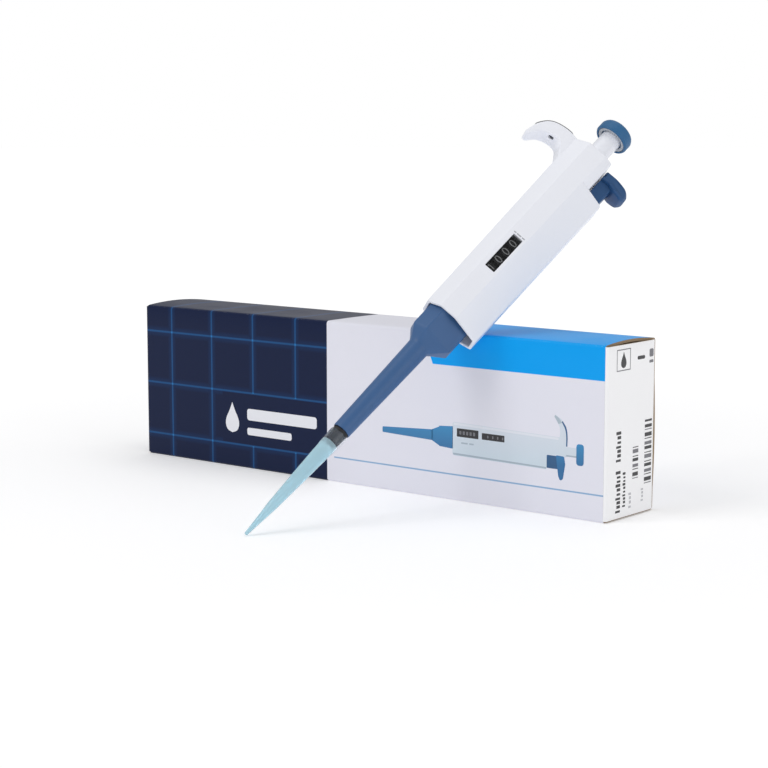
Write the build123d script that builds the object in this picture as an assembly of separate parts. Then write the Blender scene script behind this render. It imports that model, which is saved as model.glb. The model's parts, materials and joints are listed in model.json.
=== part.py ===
from build123d import *
import os
from math import atan2, cos, degrees, pi, radians, sin, sqrt

# ---------------------------------------------------------------------------
# Adjustable 100-1000 microlitre pipette with a fitted tip, leaning on the
# carton that the set is sold in.  Millimetres, +Z up.
#
# The pipette is modelled upright in its own frame: z runs up the main axis
# from the open end of the tip, +x is the ejector side, -x the finger hook
# side, and -y the face with the volume counter.  One location then leans it
# on the carton.
# ---------------------------------------------------------------------------

# Carton, standing on its long narrow side.
CARTON_L = 320.0
CARTON_W = 46.0
CARTON_H = 88.0
BOARD = 1.5
CREASE_R = 1.6
TUCK_LEN = 14.0
TUCK_LEAN = 10.0
DUST_LEN = 34.0
GLUE_FLAP = 15.0

# How the pipette leans: axis direction (tip to knob), where the handle
# crosses the carton's front top edge, and the way the counter face looks.
LEAN_X = 0.215
LEAN_Y = 0.745
LEAN_EDGE_X = 76.0
FACE_AZIMUTH = 39.0
FACE_ELEVATION = 14.0
REST_GAP = 0.3
FLOOR_GAP = 0.2

# Levels along the pipette's axis.
TIP_TOP = 68.8
NOZZLE_END = 62.3
SLEEVE_END = 70.75
FLARE_START = 130.3
FLARE_END = 138.2
HANDLE_END = 150.6
SLEEVE_TOP = 162.0
COUNTER_Z = 183.2
COUNTER_PITCH = 5.9
SHOULDER_Z = 255.0
HANDLE_TOP = 275.3
KNOB_Z = 291.8
KNOB_TOP = 299.6

# Travels.
MAIN_STROKE = 12.5
BLOWOUT_STROKE = 3.0
EJECT_STROKE = 9.5

# Radii.
STEM_R = 5.65
KNOB_R = 9.6
BORE_R = 5.18
PISTON_R = 5.10
CHAMBER_R = 6.3
DRUM_R = 10.5
SPINDLE_R = 4.65
SCREW_R = 2.4
ROD_CLEAR = 0.3

# Handle wall and the ejector's place in it.
WALL = 1.8
ROD_X = 14.8
ROD_R = 1.5
BLOCK_X = (10.4, 18.4)
BLOCK_HALF = 5.4
BLOCK_END = 247.0
NECK_X = 9.8

# Counter gearing: number ring teeth, pinion teeth and their module.
RING_TEETH = 40
PINION_TEETH = 10
MODULE = 0.476
PINION_ANGLE = -24.0
CENTRES = MODULE * (RING_TEETH + PINION_TEETH) / 2
PINION_XY = (CENTRES * cos(radians(PINION_ANGLE)), CENTRES * sin(radians(PINION_ANGLE)))

PARTS = {}


# --- helpers ---------------------------------------------------------------

def tube(r_out, r_in, z0, z1, x=0.0, y=0.0):
    """Round tube, or a plain cylinder where r_in is 0."""
    body = Pos(x, y, z0) * Cylinder(r_out, z1 - z0, align=(Align.CENTER, Align.CENTER, Align.MIN))
    if r_in > 0:
        body -= Pos(x, y, z0 - 1) * Cylinder(r_in, z1 - z0 + 2, align=(Align.CENTER, Align.CENTER, Align.MIN))
    return body


def block(x0, x1, y0, y1, z0, z1):
    """Box between two corners."""
    return Pos((x0 + x1) / 2, (y0 + y1) / 2, (z0 + z1) / 2) * Box(x1 - x0, y1 - y0, z1 - z0)


def turned(points):
    """Solid of revolution about z from (radius, z) points, closed in order."""
    wire = Polyline(*[(r, 0, z) for r, z in points], close=True)
    return revolve(make_face(wire), Axis.Z, 360)


def prism(points, z0, z1):
    """Polygon in x, y pushed up from z0 to z1."""
    face = make_face(Polyline(*[(x, y, z0) for x, y in points], close=True))
    return extrude(face, amount=z1 - z0, dir=(0, 0, 1))


def hexagon(r, z0, z1):
    return prism([(r * cos(k * pi / 3), r * sin(k * pi / 3)) for k in range(6)], z0, z1)


def gear_points(teeth, module, start_deg, share=0.34):
    """Outline of a small moulded gear: straight flanked teeth, one centred on start_deg."""
    tip = module * teeth / 2 + 0.80 * module
    root = module * teeth / 2 - 1.05 * module
    step = 2 * pi / teeth
    half_tip = 0.5 * share * step * 0.7
    half_root = 0.5 * share * step * 1.35
    points = []
    for k in range(teeth):
        a = radians(start_deg) + k * step
        for r, off in ((root, -half_root), (tip, -half_tip), (tip, half_tip), (root, half_root)):
            points.append((r * cos(a + off), r * sin(a + off)))
    return points


def spring(radius, wire, z0, z1, turns, x=0.0, y=0.0):
    """Open coil spring whose wire stays between z0 and z1."""
    height = z1 - z0 - wire
    path = Helix(pitch=height / turns, height=height, radius=radius)
    start = Plane(origin=path @ 0, z_dir=path % 0)
    coil = sweep(start * Circle(wire / 2), path=path)
    return Pos(x, y, z0 + wire / 2) * coil


# --- handle ----------------------------------------------------------------

HANDLE_BOTTOM_SECTION = {"left": -12.5, "flat0": -5.3, "flat1": 4.6, "right": 19.6, "deep": 13.2,
                         "left_half": 6.4, "right_half": 5.6}
HANDLE_TOP_SECTION = {"left": -14.2, "flat0": -6.1, "flat1": 4.9, "right": 20.2, "deep": 13.8,
                      "left_half": 6.8, "right_half": 6.2}
EDGE_R = 1.3


def section_at(z):
    """Handle section values at height z, straight-line between bottom and top."""
    f = (z - HANDLE_END) / (HANDLE_TOP - HANDLE_END)
    low, high = HANDLE_BOTTOM_SECTION, HANDLE_TOP_SECTION
    return {key: low[key] + f * (high[key] - low[key]) for key in low}


def handle_corners(z, inset=0.0):
    """Eight corners of the handle section, with the flats moved in by inset."""
    s = section_at(z)
    lower = [(s["left"], -s["left_half"]), (s["flat0"], -s["deep"]),
             (s["flat1"], -s["deep"]), (s["right"], -s["right_half"])]
    points = lower + [(x, -y) for x, y in reversed(lower)]
    return inset_polygon(points, inset) if inset else points


def inset_polygon(points, inset):
    """Move every side of a counter-clockwise polygon inwards and remake the corners."""
    sides = []
    for (x0, y0), (x1, y1) in zip(points, points[1:] + points[:1]):
        length = sqrt((x1 - x0) ** 2 + (y1 - y0) ** 2)
        ux, uy = (x1 - x0) / length, (y1 - y0) / length
        sides.append((x0 - uy * inset, y0 + ux * inset, ux, uy))
    corners = []
    for (ax, ay, aux, auy), (bx, by, bux, buy) in zip(sides[-1:] + sides[:-1], sides):
        t = ((bx - ax) * buy - (by - ay) * bux) / (aux * buy - auy * bux)
        corners.append((ax + aux * t, ay + auy * t))
    return corners


def rounded_face(points, z, radius):
    """Flat face at height z with its corners rounded."""
    wire = Polyline(*[(x, y) for x, y in points], close=True)
    face = make_face(wire)
    return Pos(0, 0, z) * fillet(face.vertices(), radius)


def handle_loft(z0, z1, inset, radius):
    faces = [rounded_face(handle_corners(z, inset), z, radius) for z in (z0, z1)]
    return loft(faces, ruled=True)


def hook_face():
    """Side outline of the finger hook in x, z."""
    outer = Spline((-10.0, 0, 275.2), (-19.0, 0, 276.4), (-28.3, 0, 274.4), (-33.6, 0, 268.8),
                   (-36.0, 0, 261.4), tangents=((-1, 0, 0.05), (-0.15, 0, -1)))
    end = ThreePointArc((-36.0, 0, 261.4), (-34.9, 0, 259.9), (-33.4, 0, 261.0))
    under = Spline((-33.4, 0, 261.0), (-29.0, 0, 266.2), (-22.8, 0, 268.4), (-17.0, 0, 266.8),
                   (-13.4, 0, 258.5), tangents=((0.6, 0, 0.8), (0.15, 0, -1)))
    close = Polyline((-13.4, 0, 258.5), (-10.0, 0, 258.5), (-10.0, 0, 275.2))
    return make_face([outer, end, under, close])


HOOK_HALF = 7.5


def make_handle():
    shell = handle_loft(HANDLE_END, HANDLE_TOP, 0.0, EDGE_R)
    shell = chamfer(shell.faces().sort_by(Axis.Z)[-1].edges(), 0.5)
    shell -= block(NECK_X, 30, -30, 30, SHOULDER_Z, HANDLE_TOP + 5)
    hook = Pos(0, HOOK_HALF, 0) * extrude(hook_face(), amount=2 * HOOK_HALF, dir=(0, -1, 0))
    shell += hook
    shell -= handle_loft(HANDLE_END - 0.01, SHOULDER_Z - 2.0, WALL, 0.4)
    upper = handle_loft(SHOULDER_Z - 2.01, HANDLE_TOP - 4.5, WALL, 0.4)
    shell -= upper - block(NECK_X - WALL, 30, -30, 30, SHOULDER_Z - 3, HANDLE_TOP)
    shell -= tube(8.6, 0, HANDLE_TOP - 6, HANDLE_TOP - 1.2)
    shell -= tube(STEM_R + 0.45, 0, HANDLE_TOP - 2, HANDLE_TOP + 1)
    shell -= block(BLOCK_X[0] - ROD_CLEAR, BLOCK_X[1] + ROD_CLEAR, -BLOCK_HALF - ROD_CLEAR,
                   BLOCK_HALF + ROD_CLEAR, BLOCK_END - EJECT_STROKE - 1, SHOULDER_Z + 1)
    shell -= block(*WINDOW_X, -20, -5, *WINDOW_Z)
    shell -= block(-25.4, -22.0, -HOOK_HALF + 0.9, -2.5, 266.0, 269.6)
    return shell - pad_solid(0.0)


WINDOW_X = (-2.9, 3.1)
WINDOW_Z = (COUNTER_Z - 0.1, COUNTER_Z + 4 * COUNTER_PITCH)
PAD_HALF = 5.2


def pad_solid(proud):
    """Thin strip let into the top of the hook, standing proud by the given height."""
    low = Spline((-13.6, 0, 275.0), (-19.0, 0, 275.6), (-27.8, 0, 273.8), (-32.2, 0, 269.2))
    high = Spline((-32.9, 0, 270.2 + proud), (-28.3, 0, 274.6 + proud), (-19.0, 0, 276.6 + proud),
                  (-13.6, 0, 276.0 + proud))
    ends = [Line((-32.2, 0, 269.2), (-32.9, 0, 270.2 + proud)),
            Line((-13.6, 0, 276.0 + proud), (-13.6, 0, 275.0))]
    strip = make_face([low, ends[0], high, ends[1]])
    return Pos(0, PAD_HALF, 0) * extrude(strip, amount=2 * PAD_HALF, dir=(0, -1, 0))


def inner_plate(z0, z1, gap=0.12):
    """Plate that fills the handle's inside at its height, with a hole for the ejector rod."""
    corners = handle_corners(z0, WALL + gap)
    return prism(corners, z0, z1) - tube(ROD_R + 0.5, 0, z0 - 1, z1 + 1, x=ROD_X)


# --- build the handle group --------------------------------------------------

PLATE_LOW = COUNTER_Z - 2.8
PLATE_TOP = COUNTER_Z + 27.2
BASE_Z = 163.5
CHAMBER_TOP = 170.0
CHAMBER_FLOOR = 139.0

PARTS["handle_shell"] = make_handle()
PARTS["hook_pad"] = pad_solid(0.25)

lens_step = section_at(195)["deep"]
PARTS["window_lens"] = block(*WINDOW_X, -lens_step + 0.35, -lens_step + WALL, *WINDOW_Z)

PARTS["top_bush"] = tube(8.5, STEM_R + 0.06, HANDLE_TOP - 6, HANDLE_TOP - 1.2)

counter_plate = inner_plate(PLATE_LOW, PLATE_LOW + 2)
counter_plate += tube(SPINDLE_R, 0, PLATE_LOW + 1, COUNTER_Z + 23.7)
counter_plate -= tube(3.3, 0, PLATE_LOW - 1, COUNTER_Z + 24)
counter_plate -= tube(0.7, 0, PLATE_LOW + 0.6, PLATE_LOW + 3, *PINION_XY)
PARTS["counter_frame"] = counter_plate

partition = inner_plate(PLATE_TOP, PLATE_TOP + 2)
partition -= tube(3.0, 0, PLATE_TOP - 1, PLATE_TOP + 3)
partition -= tube(0.7, 0, PLATE_TOP - 1, PLATE_TOP + 1.1, *PINION_XY)
PARTS["spring_seat"] = partition

PARTS["pinion_shaft"] = tube(0.7, 0, PLATE_LOW + 0.7, PLATE_TOP + 1.0, *PINION_XY)

base = inner_plate(BASE_Z, BASE_Z + 3) - tube(CHAMBER_R, 0, BASE_Z - 1, BASE_Z + 4)
PARTS["base_plate"] = base
PARTS["coupling_nut"] = hexagon(9.6, BASE_Z + 3, CHAMBER_TOP) - tube(CHAMBER_R, 0, BASE_Z, CHAMBER_TOP + 1)

# Nozzle: tip cone, slender shaft and the wide piston chamber in one moulding.
nozzle = turned([(1.5, NOZZLE_END), (3.75, NOZZLE_END), (3.95, NOZZLE_END + 0.4), (4.05, 69.0),
                 (3.7, 69.0), (3.7, 70.3), (4.05, 70.3), (4.4, 131.0), (CHAMBER_R, 140.5),
                 (CHAMBER_R, CHAMBER_TOP), (BORE_R, CHAMBER_TOP), (BORE_R, CHAMBER_FLOOR),
                 (1.5, CHAMBER_FLOOR - 2)])
PARTS["nozzle"] = nozzle
PARTS["nozzle_ring"] = turned([(3.7, 69.0), (4.12, 69.15), (4.12, 70.15), (3.7, 70.3)])
PARTS["chamber_cap"] = tube(BORE_R, 3.9, CHAMBER_TOP - 3, CHAMBER_TOP)

# --- blow-out stop, plunger and piston ---------------------------------------

STOP_Z = PLATE_TOP + 11.6
STEM_END = STOP_Z + 24.0
stop_washer = tube(8.0, 2.9, STOP_Z - 2.5, STOP_Z) + tube(3.6, 2.9, STOP_Z - 5.9, STOP_Z - 2.4)
PARTS["stop_washer"] = stop_washer
PARTS["blowout_spring"] = spring(4.6, 1.0, PLATE_TOP + 2, STOP_Z - 2.5, 2.6)
PARTS["plunger_spring"] = spring(5.2, 0.7, STOP_Z, STEM_END, 7)

PISTON_Z = CHAMBER_FLOOR + MAIN_STROKE + BLOWOUT_STROKE + 1.0
HEAD_Z = PISTON_Z + 13.5
SEAL_GAP = 1.2
piston = tube(PISTON_R, 0, PISTON_Z, PISTON_Z + 6)
for groove_z in (PISTON_Z + 1.0, PISTON_Z + 3.6):
    piston -= tube(PISTON_R + 1, PISTON_R - 1.0, groove_z, groove_z + SEAL_GAP)
PARTS["piston"] = piston
PARTS["piston_seal"] = tube(PISTON_R + 0.04, PISTON_R - 1.0, PISTON_Z + 1.0, PISTON_Z + 1.0 + SEAL_GAP)
o_ring = Pos(0, 0, PISTON_Z + 4.2) * Torus(PISTON_R - 0.56, 0.58)
PARTS["piston_o_ring"] = o_ring & tube(PISTON_R + 1, PISTON_R - 1.0, PISTON_Z + 3.6, PISTON_Z + 4.8)
PARTS["piston_rod"] = tube(2.0, 0, PISTON_Z + 6, HEAD_Z + 0.5)
rod_head = tube(3.5, 0, HEAD_Z, HEAD_Z + 9) - tube(SCREW_R + 0.2, 0, HEAD_Z + 3, HEAD_Z + 10)
PARTS["rod_head"] = rod_head - tube(2.0, 0, HEAD_Z - 1, HEAD_Z + 0.5)

# --- knob, stem and lead screw -------------------------------------------------

STEM_TOP = KNOB_Z + 5.2
DOME_R = 6.9
DOME_SAG = 0.55
dome_sphere = (DOME_R ** 2 + DOME_SAG ** 2) / (2 * DOME_SAG)
dome_mid = KNOB_TOP - dome_sphere + sqrt(dome_sphere ** 2 - (DOME_R / 2) ** 2)
dome_edge = KNOB_TOP - DOME_SAG
rim_top = KNOB_Z + 4.4
knob_side = Polyline((0, 0, KNOB_Z), (8.9, 0, KNOB_Z), (KNOB_R, 0, KNOB_Z + 0.8), (KNOB_R, 0, rim_top))
knob_round = ThreePointArc((KNOB_R, 0, rim_top), (KNOB_R - 0.95, 0, rim_top + 1.9), (DOME_R, 0, dome_edge))
knob_dome = ThreePointArc((DOME_R, 0, dome_edge), (DOME_R / 2, 0, dome_mid), (0, 0, KNOB_TOP))
knob_middle = Line((0, 0, KNOB_TOP), (0, 0, KNOB_Z))
knob = revolve(make_face([knob_side, knob_round, knob_dome, knob_middle]), Axis.Z, 360)
PARTS["knob_cap"] = knob - tube(8.3, 0, KNOB_Z - 1, KNOB_Z + 1.6) - tube(STEM_R, 0, KNOB_Z, STEM_TOP)
PARTS["knob_ring"] = tube(8.3, 6.7, KNOB_Z + 0.2, KNOB_Z + 1.6)

stem = tube(STEM_R, 0, STEM_END, STEM_TOP) - tube(4.5, 0, STEM_END - 1, STEM_END + 24)
PARTS["stem"] = stem

SCREW_Z = (HEAD_Z + 3.4, STEM_END + 24)
THREAD_Z = (STOP_Z + 12, STEM_END + 16)
THREAD_PITCH = 2.0
screw = hexagon(SCREW_R, SCREW_Z[0], THREAD_Z[0]) + tube(2.1, 0, THREAD_Z[0] - 0.5, SCREW_Z[1])
for k in range(int((THREAD_Z[1] - THREAD_Z[0]) / THREAD_PITCH)):
    ridge_z = THREAD_Z[0] + k * THREAD_PITCH
    screw += turned([(1.5, ridge_z), (2.1, ridge_z), (2.6, ridge_z + 0.5), (2.6, ridge_z + 0.8),
                     (2.1, ridge_z + 1.3), (1.5, ridge_z + 1.3)])
PARTS["lead_screw"] = screw
nut_z = STOP_Z + MAIN_STROKE + 0.1
PARTS["stop_nut"] = hexagon(4.3, nut_z, nut_z + 4) - tube(2.62, 0, nut_z - 1, nut_z + 5)

# --- volume counter --------------------------------------------------------------

RING_NAMES = ("thousands", "hundreds", "tens", "units")
DRUM_W = 4.3
FLANGE_W = 1.4
gap_phase = PINION_ANGLE + 180.0 / RING_TEETH
for k, name in enumerate(RING_NAMES):
    z0 = COUNTER_Z + k * COUNTER_PITCH
    ring = tube(DRUM_R, 0, z0, z0 + DRUM_W)
    ring += prism(gear_points(RING_TEETH, MODULE, gap_phase), z0 + DRUM_W - 0.1, z0 + DRUM_W + FLANGE_W)
    ring -= tube(SPINDLE_R + 0.08, 0, z0 - 1, z0 + 8)
    PARTS["number_ring_" + name] = ring
    if name != "units":
        teeth = prism(gear_points(PINION_TEETH, MODULE, PINION_ANGLE + 180),
                      z0 + DRUM_W + 0.15, z0 + DRUM_W + FLANGE_W)
        pinion = Pos(*PINION_XY, 0) * teeth
        PARTS["transfer_pinion_" + name] = pinion - tube(0.78, 0, z0, z0 + 9, *PINION_XY)

drive = tube(8.6, 0, COUNTER_Z + 23.9, PLATE_TOP - 0.3)
drive += tube(6.2, SPINDLE_R + 0.3, COUNTER_Z + 23.4, COUNTER_Z + 24.0)
PARTS["drive_sleeve"] = drive - hexagon(SCREW_R + 0.15, COUNTER_Z + 20, PLATE_TOP + 1)

# --- ejector -----------------------------------------------------------------------

PADDLE_HALF = 8.2
PADDLE_TOP = 272.6


def make_lever():
    lever = block(*BLOCK_X, -BLOCK_HALF, BLOCK_HALF, BLOCK_END, PADDLE_TOP - 1)
    top = Spline((BLOCK_X[0], 0, PADDLE_TOP), (17.0, 0, PADDLE_TOP + 0.1), (25.0, 0, PADDLE_TOP - 0.9))
    end = ThreePointArc((25.0, 0, PADDLE_TOP - 0.9), (27.4, 0, 268.4), (25.2, 0, 265.4))
    under = Spline((25.2, 0, 265.4), (20.0, 0, 265.6), (16.5, 0, 267.4), (BLOCK_X[0], 0, 268.0))
    back = Line((BLOCK_X[0], 0, 268.0), (BLOCK_X[0], 0, PADDLE_TOP))
    paddle = extrude(make_face([top, end, under, back]), amount=2 * PADDLE_HALF, dir=(0, -1, 0))
    lever += Pos(0, PADDLE_HALF, 0) * paddle
    for side in (-1, 1):
        clip = [(19.5, side * 9), (29, side * 9), (29, side * 3.5)]
        lever -= prism(clip[::-side], BLOCK_END, PADDLE_TOP + 4)
    return lever - tube(ROD_R, 0, BLOCK_END - 1, BLOCK_END + 5, x=ROD_X)


PARTS["ejector_lever"] = make_lever()
PARTS["ejector_rod"] = tube(ROD_R, 0, SLEEVE_TOP - 4.0, BLOCK_END + 5, x=ROD_X)
PARTS["ejector_spring"] = spring(2.6, 0.6, PLATE_TOP + 2, BLOCK_END, 11, x=ROD_X)

COLLAR = [(-8.2, -4.2), (-1.6, -9.3), (12.9, -4.4), (12.9, 4.4), (-1.6, 9.3), (-8.2, 4.2)]
COLLAR_WALL = 1.15


def arc_face(r, z):
    """Circle made of six arcs that start at the collar's bearings."""
    bearings = [atan2(y, x) for x, y in COLLAR]
    arcs = []
    for a, b in zip(bearings, bearings[1:] + bearings[:1]):
        if b < a:
            b += 2 * pi
        m = (a + b) / 2
        arcs.append(ThreePointArc(*[(r * cos(t), r * sin(t), z) for t in (a, m, b)]))
    return make_face(arcs)


def collar_face(inset, z):
    points = inset_polygon(COLLAR, inset) if inset else COLLAR
    return make_face(Polyline(*[(x, y, z) for x, y in points], close=True))


def make_sleeve():
    outer = turned([(0, SLEEVE_END), (4.45, SLEEVE_END), (4.75, SLEEVE_END + 0.6), (5.85, FLARE_START),
                    (5.85, FLARE_START + 0.5), (0, FLARE_START + 0.5)])
    outer += loft([arc_face(5.85, FLARE_START), collar_face(0, FLARE_END)], ruled=True)
    outer += prism(COLLAR, FLARE_END, SLEEVE_TOP)
    outer += block(10.0, 17.4, -2.9, 2.9, SLEEVE_TOP - 5.5, SLEEVE_TOP)
    inner_start = FLARE_START + 0.5
    inner = turned([(0, SLEEVE_END - 1), (4.32, SLEEVE_END - 1), (4.32, SLEEVE_END + 1), (5.15, inner_start),
                    (5.15, inner_start + 0.4), (0, inner_start + 0.4)])
    inner += loft([arc_face(5.15, inner_start), collar_face(COLLAR_WALL, FLARE_END + 0.6)], ruled=True)
    hollow = prism(inset_polygon(COLLAR, COLLAR_WALL), FLARE_END + 0.6, SLEEVE_TOP + 1)
    inner += hollow - block(10.4, 30, -9, 9, SLEEVE_TOP - 5.5, SLEEVE_TOP + 2)
    return outer - inner - tube(ROD_R, 0, SLEEVE_TOP - 4.0, SLEEVE_TOP + 1, x=ROD_X)


PARTS["ejector_sleeve"] = make_sleeve()

# --- tip ------------------------------------------------------------------------------

TIP_END_R = 0.85
tip_outer = [(TIP_END_R, 0), (1.62, 9.5), (2.55, 19.5), (3.5, 39.5), (4.3, 60.0), (4.62, 66.5),
             (4.62, TIP_TOP)]
tip_inner = [(4.17, TIP_TOP), (4.05, NOZZLE_END), (3.0, 39.5), (2.1, 19.5), (1.2, 9.5), (0.4, 0)]
PARTS["tip"] = turned(tip_outer + tip_inner)

# --- lean the pipette on the carton's front top edge -------------------------------

axis_dir = Vector(LEAN_X, LEAN_Y, sqrt(1 - LEAN_X ** 2 - LEAN_Y ** 2))
face_dir = Vector(sin(radians(FACE_AZIMUTH)) * cos(radians(FACE_ELEVATION)),
                  -cos(radians(FACE_AZIMUTH)) * cos(radians(FACE_ELEVATION)), sin(radians(FACE_ELEVATION)))
side_dir = axis_dir.cross(face_dir).normalized()
back_dir = axis_dir.cross(side_dir)
lift_dir = Vector(1, 0, 0).cross(axis_dir).normalized()


def reach_below(z):
    """How far the handle's section at height z reaches from the axis against lift_dir."""
    return max(-(side_dir * x + back_dir * y).dot(lift_dir) for x, y in handle_corners(z))


edge_point = Vector(LEAN_EDGE_X, 0, CARTON_H) + lift_dir * (reach_below(170.0) + REST_GAP)
tip_height = FLOOR_GAP + TIP_END_R * sqrt(1 - axis_dir.Z ** 2)
tip_point = edge_point - axis_dir * ((edge_point.Z - tip_height) / axis_dir.Z)
LEAN = Location(Plane(origin=tip_point, x_dir=side_dir, z_dir=axis_dir))
PARTS = {name: LEAN * shape for name, shape in PARTS.items()}

# --- carton --------------------------------------------------------------------------


def carton_ring(x0, x1):
    """The folded board tube between two stations along x."""
    middle = Pos(0, CARTON_W / 2, CARTON_H / 2) * Rot(0, 90, 0)
    outer = middle * RectangleRounded(CARTON_H, CARTON_W, CREASE_R)
    inner = middle * RectangleRounded(CARTON_H - 2 * BOARD, CARTON_W - 2 * BOARD, 0.3)
    wall = Pos(x0, 0, 0) * extrude(outer, amount=x1 - x0, dir=(1, 0, 0))
    return wall - Pos(x0 - 1, 0, 0) * extrude(inner, amount=x1 - x0 + 2, dir=(1, 0, 0))


HALF_L = CARTON_L / 2
PANEL_GAP = 0.3
front_end = HALF_L - BOARD - PANEL_GAP
ring = carton_ring(-HALF_L, HALF_L)
corner = CREASE_R + 0.4
PARTS["carton_front"] = ring & block(-front_end, front_end, 0, corner, 0, CARTON_H)
PARTS["carton_back"] = ring & block(-HALF_L, HALF_L, CARTON_W - corner, CARTON_W, 0, CARTON_H)
PARTS["carton_top"] = ring & block(-front_end, front_end, corner, CARTON_W - corner, CARTON_H / 2, CARTON_H)
PARTS["carton_bottom"] = ring & block(-front_end, front_end, corner, CARTON_W - corner, 0, CARTON_H / 2)
PARTS["carton_glue_flap"] = block(-HALF_L + 20, HALF_L - 20, CARTON_W - 2 * BOARD, CARTON_W - BOARD,
                                  BOARD + 0.3, BOARD + GLUE_FLAP)

DUST_Y = (BOARD + 0.4, CARTON_W - 7.0)
TUCK_Y = CARTON_W - BOARD - 1.1
for end, side in (("right", 1), ("left", -1)):
    panel_x = sorted((side * (HALF_L - BOARD), side * HALF_L))
    panel = block(*panel_x, PANEL_GAP, TUCK_Y, 0.4, CARTON_H - 0.4)
    outer_edges = panel.faces().sort_by(Axis.X)[-1 if side > 0 else 0].edges().filter_by(Axis.Z)
    PARTS["carton_" + end + "_end"] = fillet(outer_edges, BOARD - 0.2)
    flap_x = sorted((0, -side * TUCK_LEN))
    flap = block(*flap_x, -BOARD, 0, 6.0, CARTON_H - 6.0)
    free_edges = flap.faces().sort_by(Axis.X)[0 if side > 0 else -1].edges().filter_by(Axis.Y)
    flap = Rot(0, 0, side * TUCK_LEAN) * fillet(free_edges, 8.0)
    PARTS["carton_" + end + "_tuck"] = Pos(side * (HALF_L - BOARD - PANEL_GAP), TUCK_Y, 0) * flap
    dust_x = sorted((side * (front_end - BOARD), side * front_end))
    for level, (z0, z1) in (("top", (CARTON_H - BOARD - 0.3 - DUST_LEN, CARTON_H - BOARD - 0.3)),
                            ("bottom", (BOARD + 0.3, BOARD + 0.3 + DUST_LEN))):
        dust = block(*dust_x, *DUST_Y, z0, z1)
        free = dust.edges().filter_by(Axis.X).sort_by(Axis.Z)
        PARTS["carton_" + end + "_dust_" + level] = fillet(free[:2] if level == "top" else free[-2:], 7.0)

# --- put the origin under the middle of the whole set -----------------------------------

boxes = [shape.bounding_box() for shape in PARTS.values()]
CENTRE_Y = (min(b.min.Y for b in boxes) + max(b.max.Y for b in boxes)) / 2
PARTS = {name: Pos(0, -CENTRE_Y, 0) * shape for name, shape in PARTS.items()}

os.makedirs("parts", exist_ok=True)
for name, shape in PARTS.items():
    export_step(shape, "parts/" + name + ".step")
print(len(PARTS), "parts; tip at", tip_point - Vector(0, CENTRE_Y, 0), "axis", axis_dir, "centre y", CENTRE_Y)
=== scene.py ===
# %% [markdown]
# A pipette set: an adjustable pipette with a blue tip, leaning on the printed carton it is sold in.
# The mechanical model is loaded first. It fixes every size and every moving body, and each piece made
# below is laid over one of its parts and rides on the same body.
# %% Load the mechanical frame
import json
import math

import bmesh
import bpy
from mathutils import Matrix, Vector


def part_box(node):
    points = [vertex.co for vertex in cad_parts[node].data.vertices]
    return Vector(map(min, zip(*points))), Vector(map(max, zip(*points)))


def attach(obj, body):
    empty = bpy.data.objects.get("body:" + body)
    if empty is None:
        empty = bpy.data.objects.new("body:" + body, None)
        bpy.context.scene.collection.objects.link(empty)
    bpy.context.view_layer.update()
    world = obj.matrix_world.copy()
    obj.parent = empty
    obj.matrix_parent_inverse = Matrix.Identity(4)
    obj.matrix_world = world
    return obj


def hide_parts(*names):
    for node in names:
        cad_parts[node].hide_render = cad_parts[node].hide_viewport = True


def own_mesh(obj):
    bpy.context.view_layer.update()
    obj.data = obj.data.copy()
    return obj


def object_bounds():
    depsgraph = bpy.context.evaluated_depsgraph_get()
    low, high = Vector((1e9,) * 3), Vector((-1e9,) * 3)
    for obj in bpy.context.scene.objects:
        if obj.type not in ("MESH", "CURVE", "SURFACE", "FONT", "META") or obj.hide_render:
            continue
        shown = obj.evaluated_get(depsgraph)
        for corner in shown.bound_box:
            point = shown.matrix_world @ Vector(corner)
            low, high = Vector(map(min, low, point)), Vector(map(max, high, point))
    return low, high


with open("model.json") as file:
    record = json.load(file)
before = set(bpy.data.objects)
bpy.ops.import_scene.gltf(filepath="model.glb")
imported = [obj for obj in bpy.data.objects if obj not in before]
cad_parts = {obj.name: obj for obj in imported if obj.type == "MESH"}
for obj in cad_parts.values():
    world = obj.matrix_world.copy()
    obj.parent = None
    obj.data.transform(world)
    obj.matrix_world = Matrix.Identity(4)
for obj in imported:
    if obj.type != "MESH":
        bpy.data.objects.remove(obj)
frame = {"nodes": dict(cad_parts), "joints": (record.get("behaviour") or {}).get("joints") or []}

cad_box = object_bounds()
joints = {joint["name"]: joint for joint in frame["joints"]}

# %% [markdown]
# The pipette leans at an odd angle, so its pieces are easier to draw in a frame of its own: z up the
# middle of the pipette from the open end of the tip, x towards the ejector, and -y out of the face
# with the volume counter. The frame could be typed in as numbers, but the joints already hold it: the
# knob turns about the pipette's middle, and a counter pinion stands beside it at a known bearing.
# %% The pipette's own frame and the carton's
MM = 0.001
KNOB_Z = 291.8
PINION_BEARING = math.radians(-24)

axis = Vector(joints["volume_turn"]["axis"]).normalized()
tip_end = Vector(joints["volume_turn"]["pos_m"]) - axis * KNOB_Z * MM
spoke = Vector(joints["pinion_tens_turn"]["pos_m"]) - Vector(joints["counter_tens_turn"]["pos_m"])
spoke = (spoke - axis * spoke.dot(axis)).normalized()
side = spoke * math.cos(PINION_BEARING) - axis.cross(spoke) * math.sin(PINION_BEARING)
back = axis.cross(side)
PIPETTE = Matrix((side, back, axis)).transposed().to_4x4()
PIPETTE.translation = tip_end

carton_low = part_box("carton_front")[0]
carton_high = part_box("carton_back")[1]
CARTON = Matrix.Translation((0, carton_low.y, carton_low.z))
LENGTH, DEPTH, HEIGHT = [(high - low) / MM for low, high in
                         ((-carton_high.x, carton_high.x), (carton_low.y, carton_high.y), (0, carton_high.z))]
print("tip end", [round(c, 4) for c in tip_end], "carton", round(LENGTH), round(DEPTH), round(HEIGHT))

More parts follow.
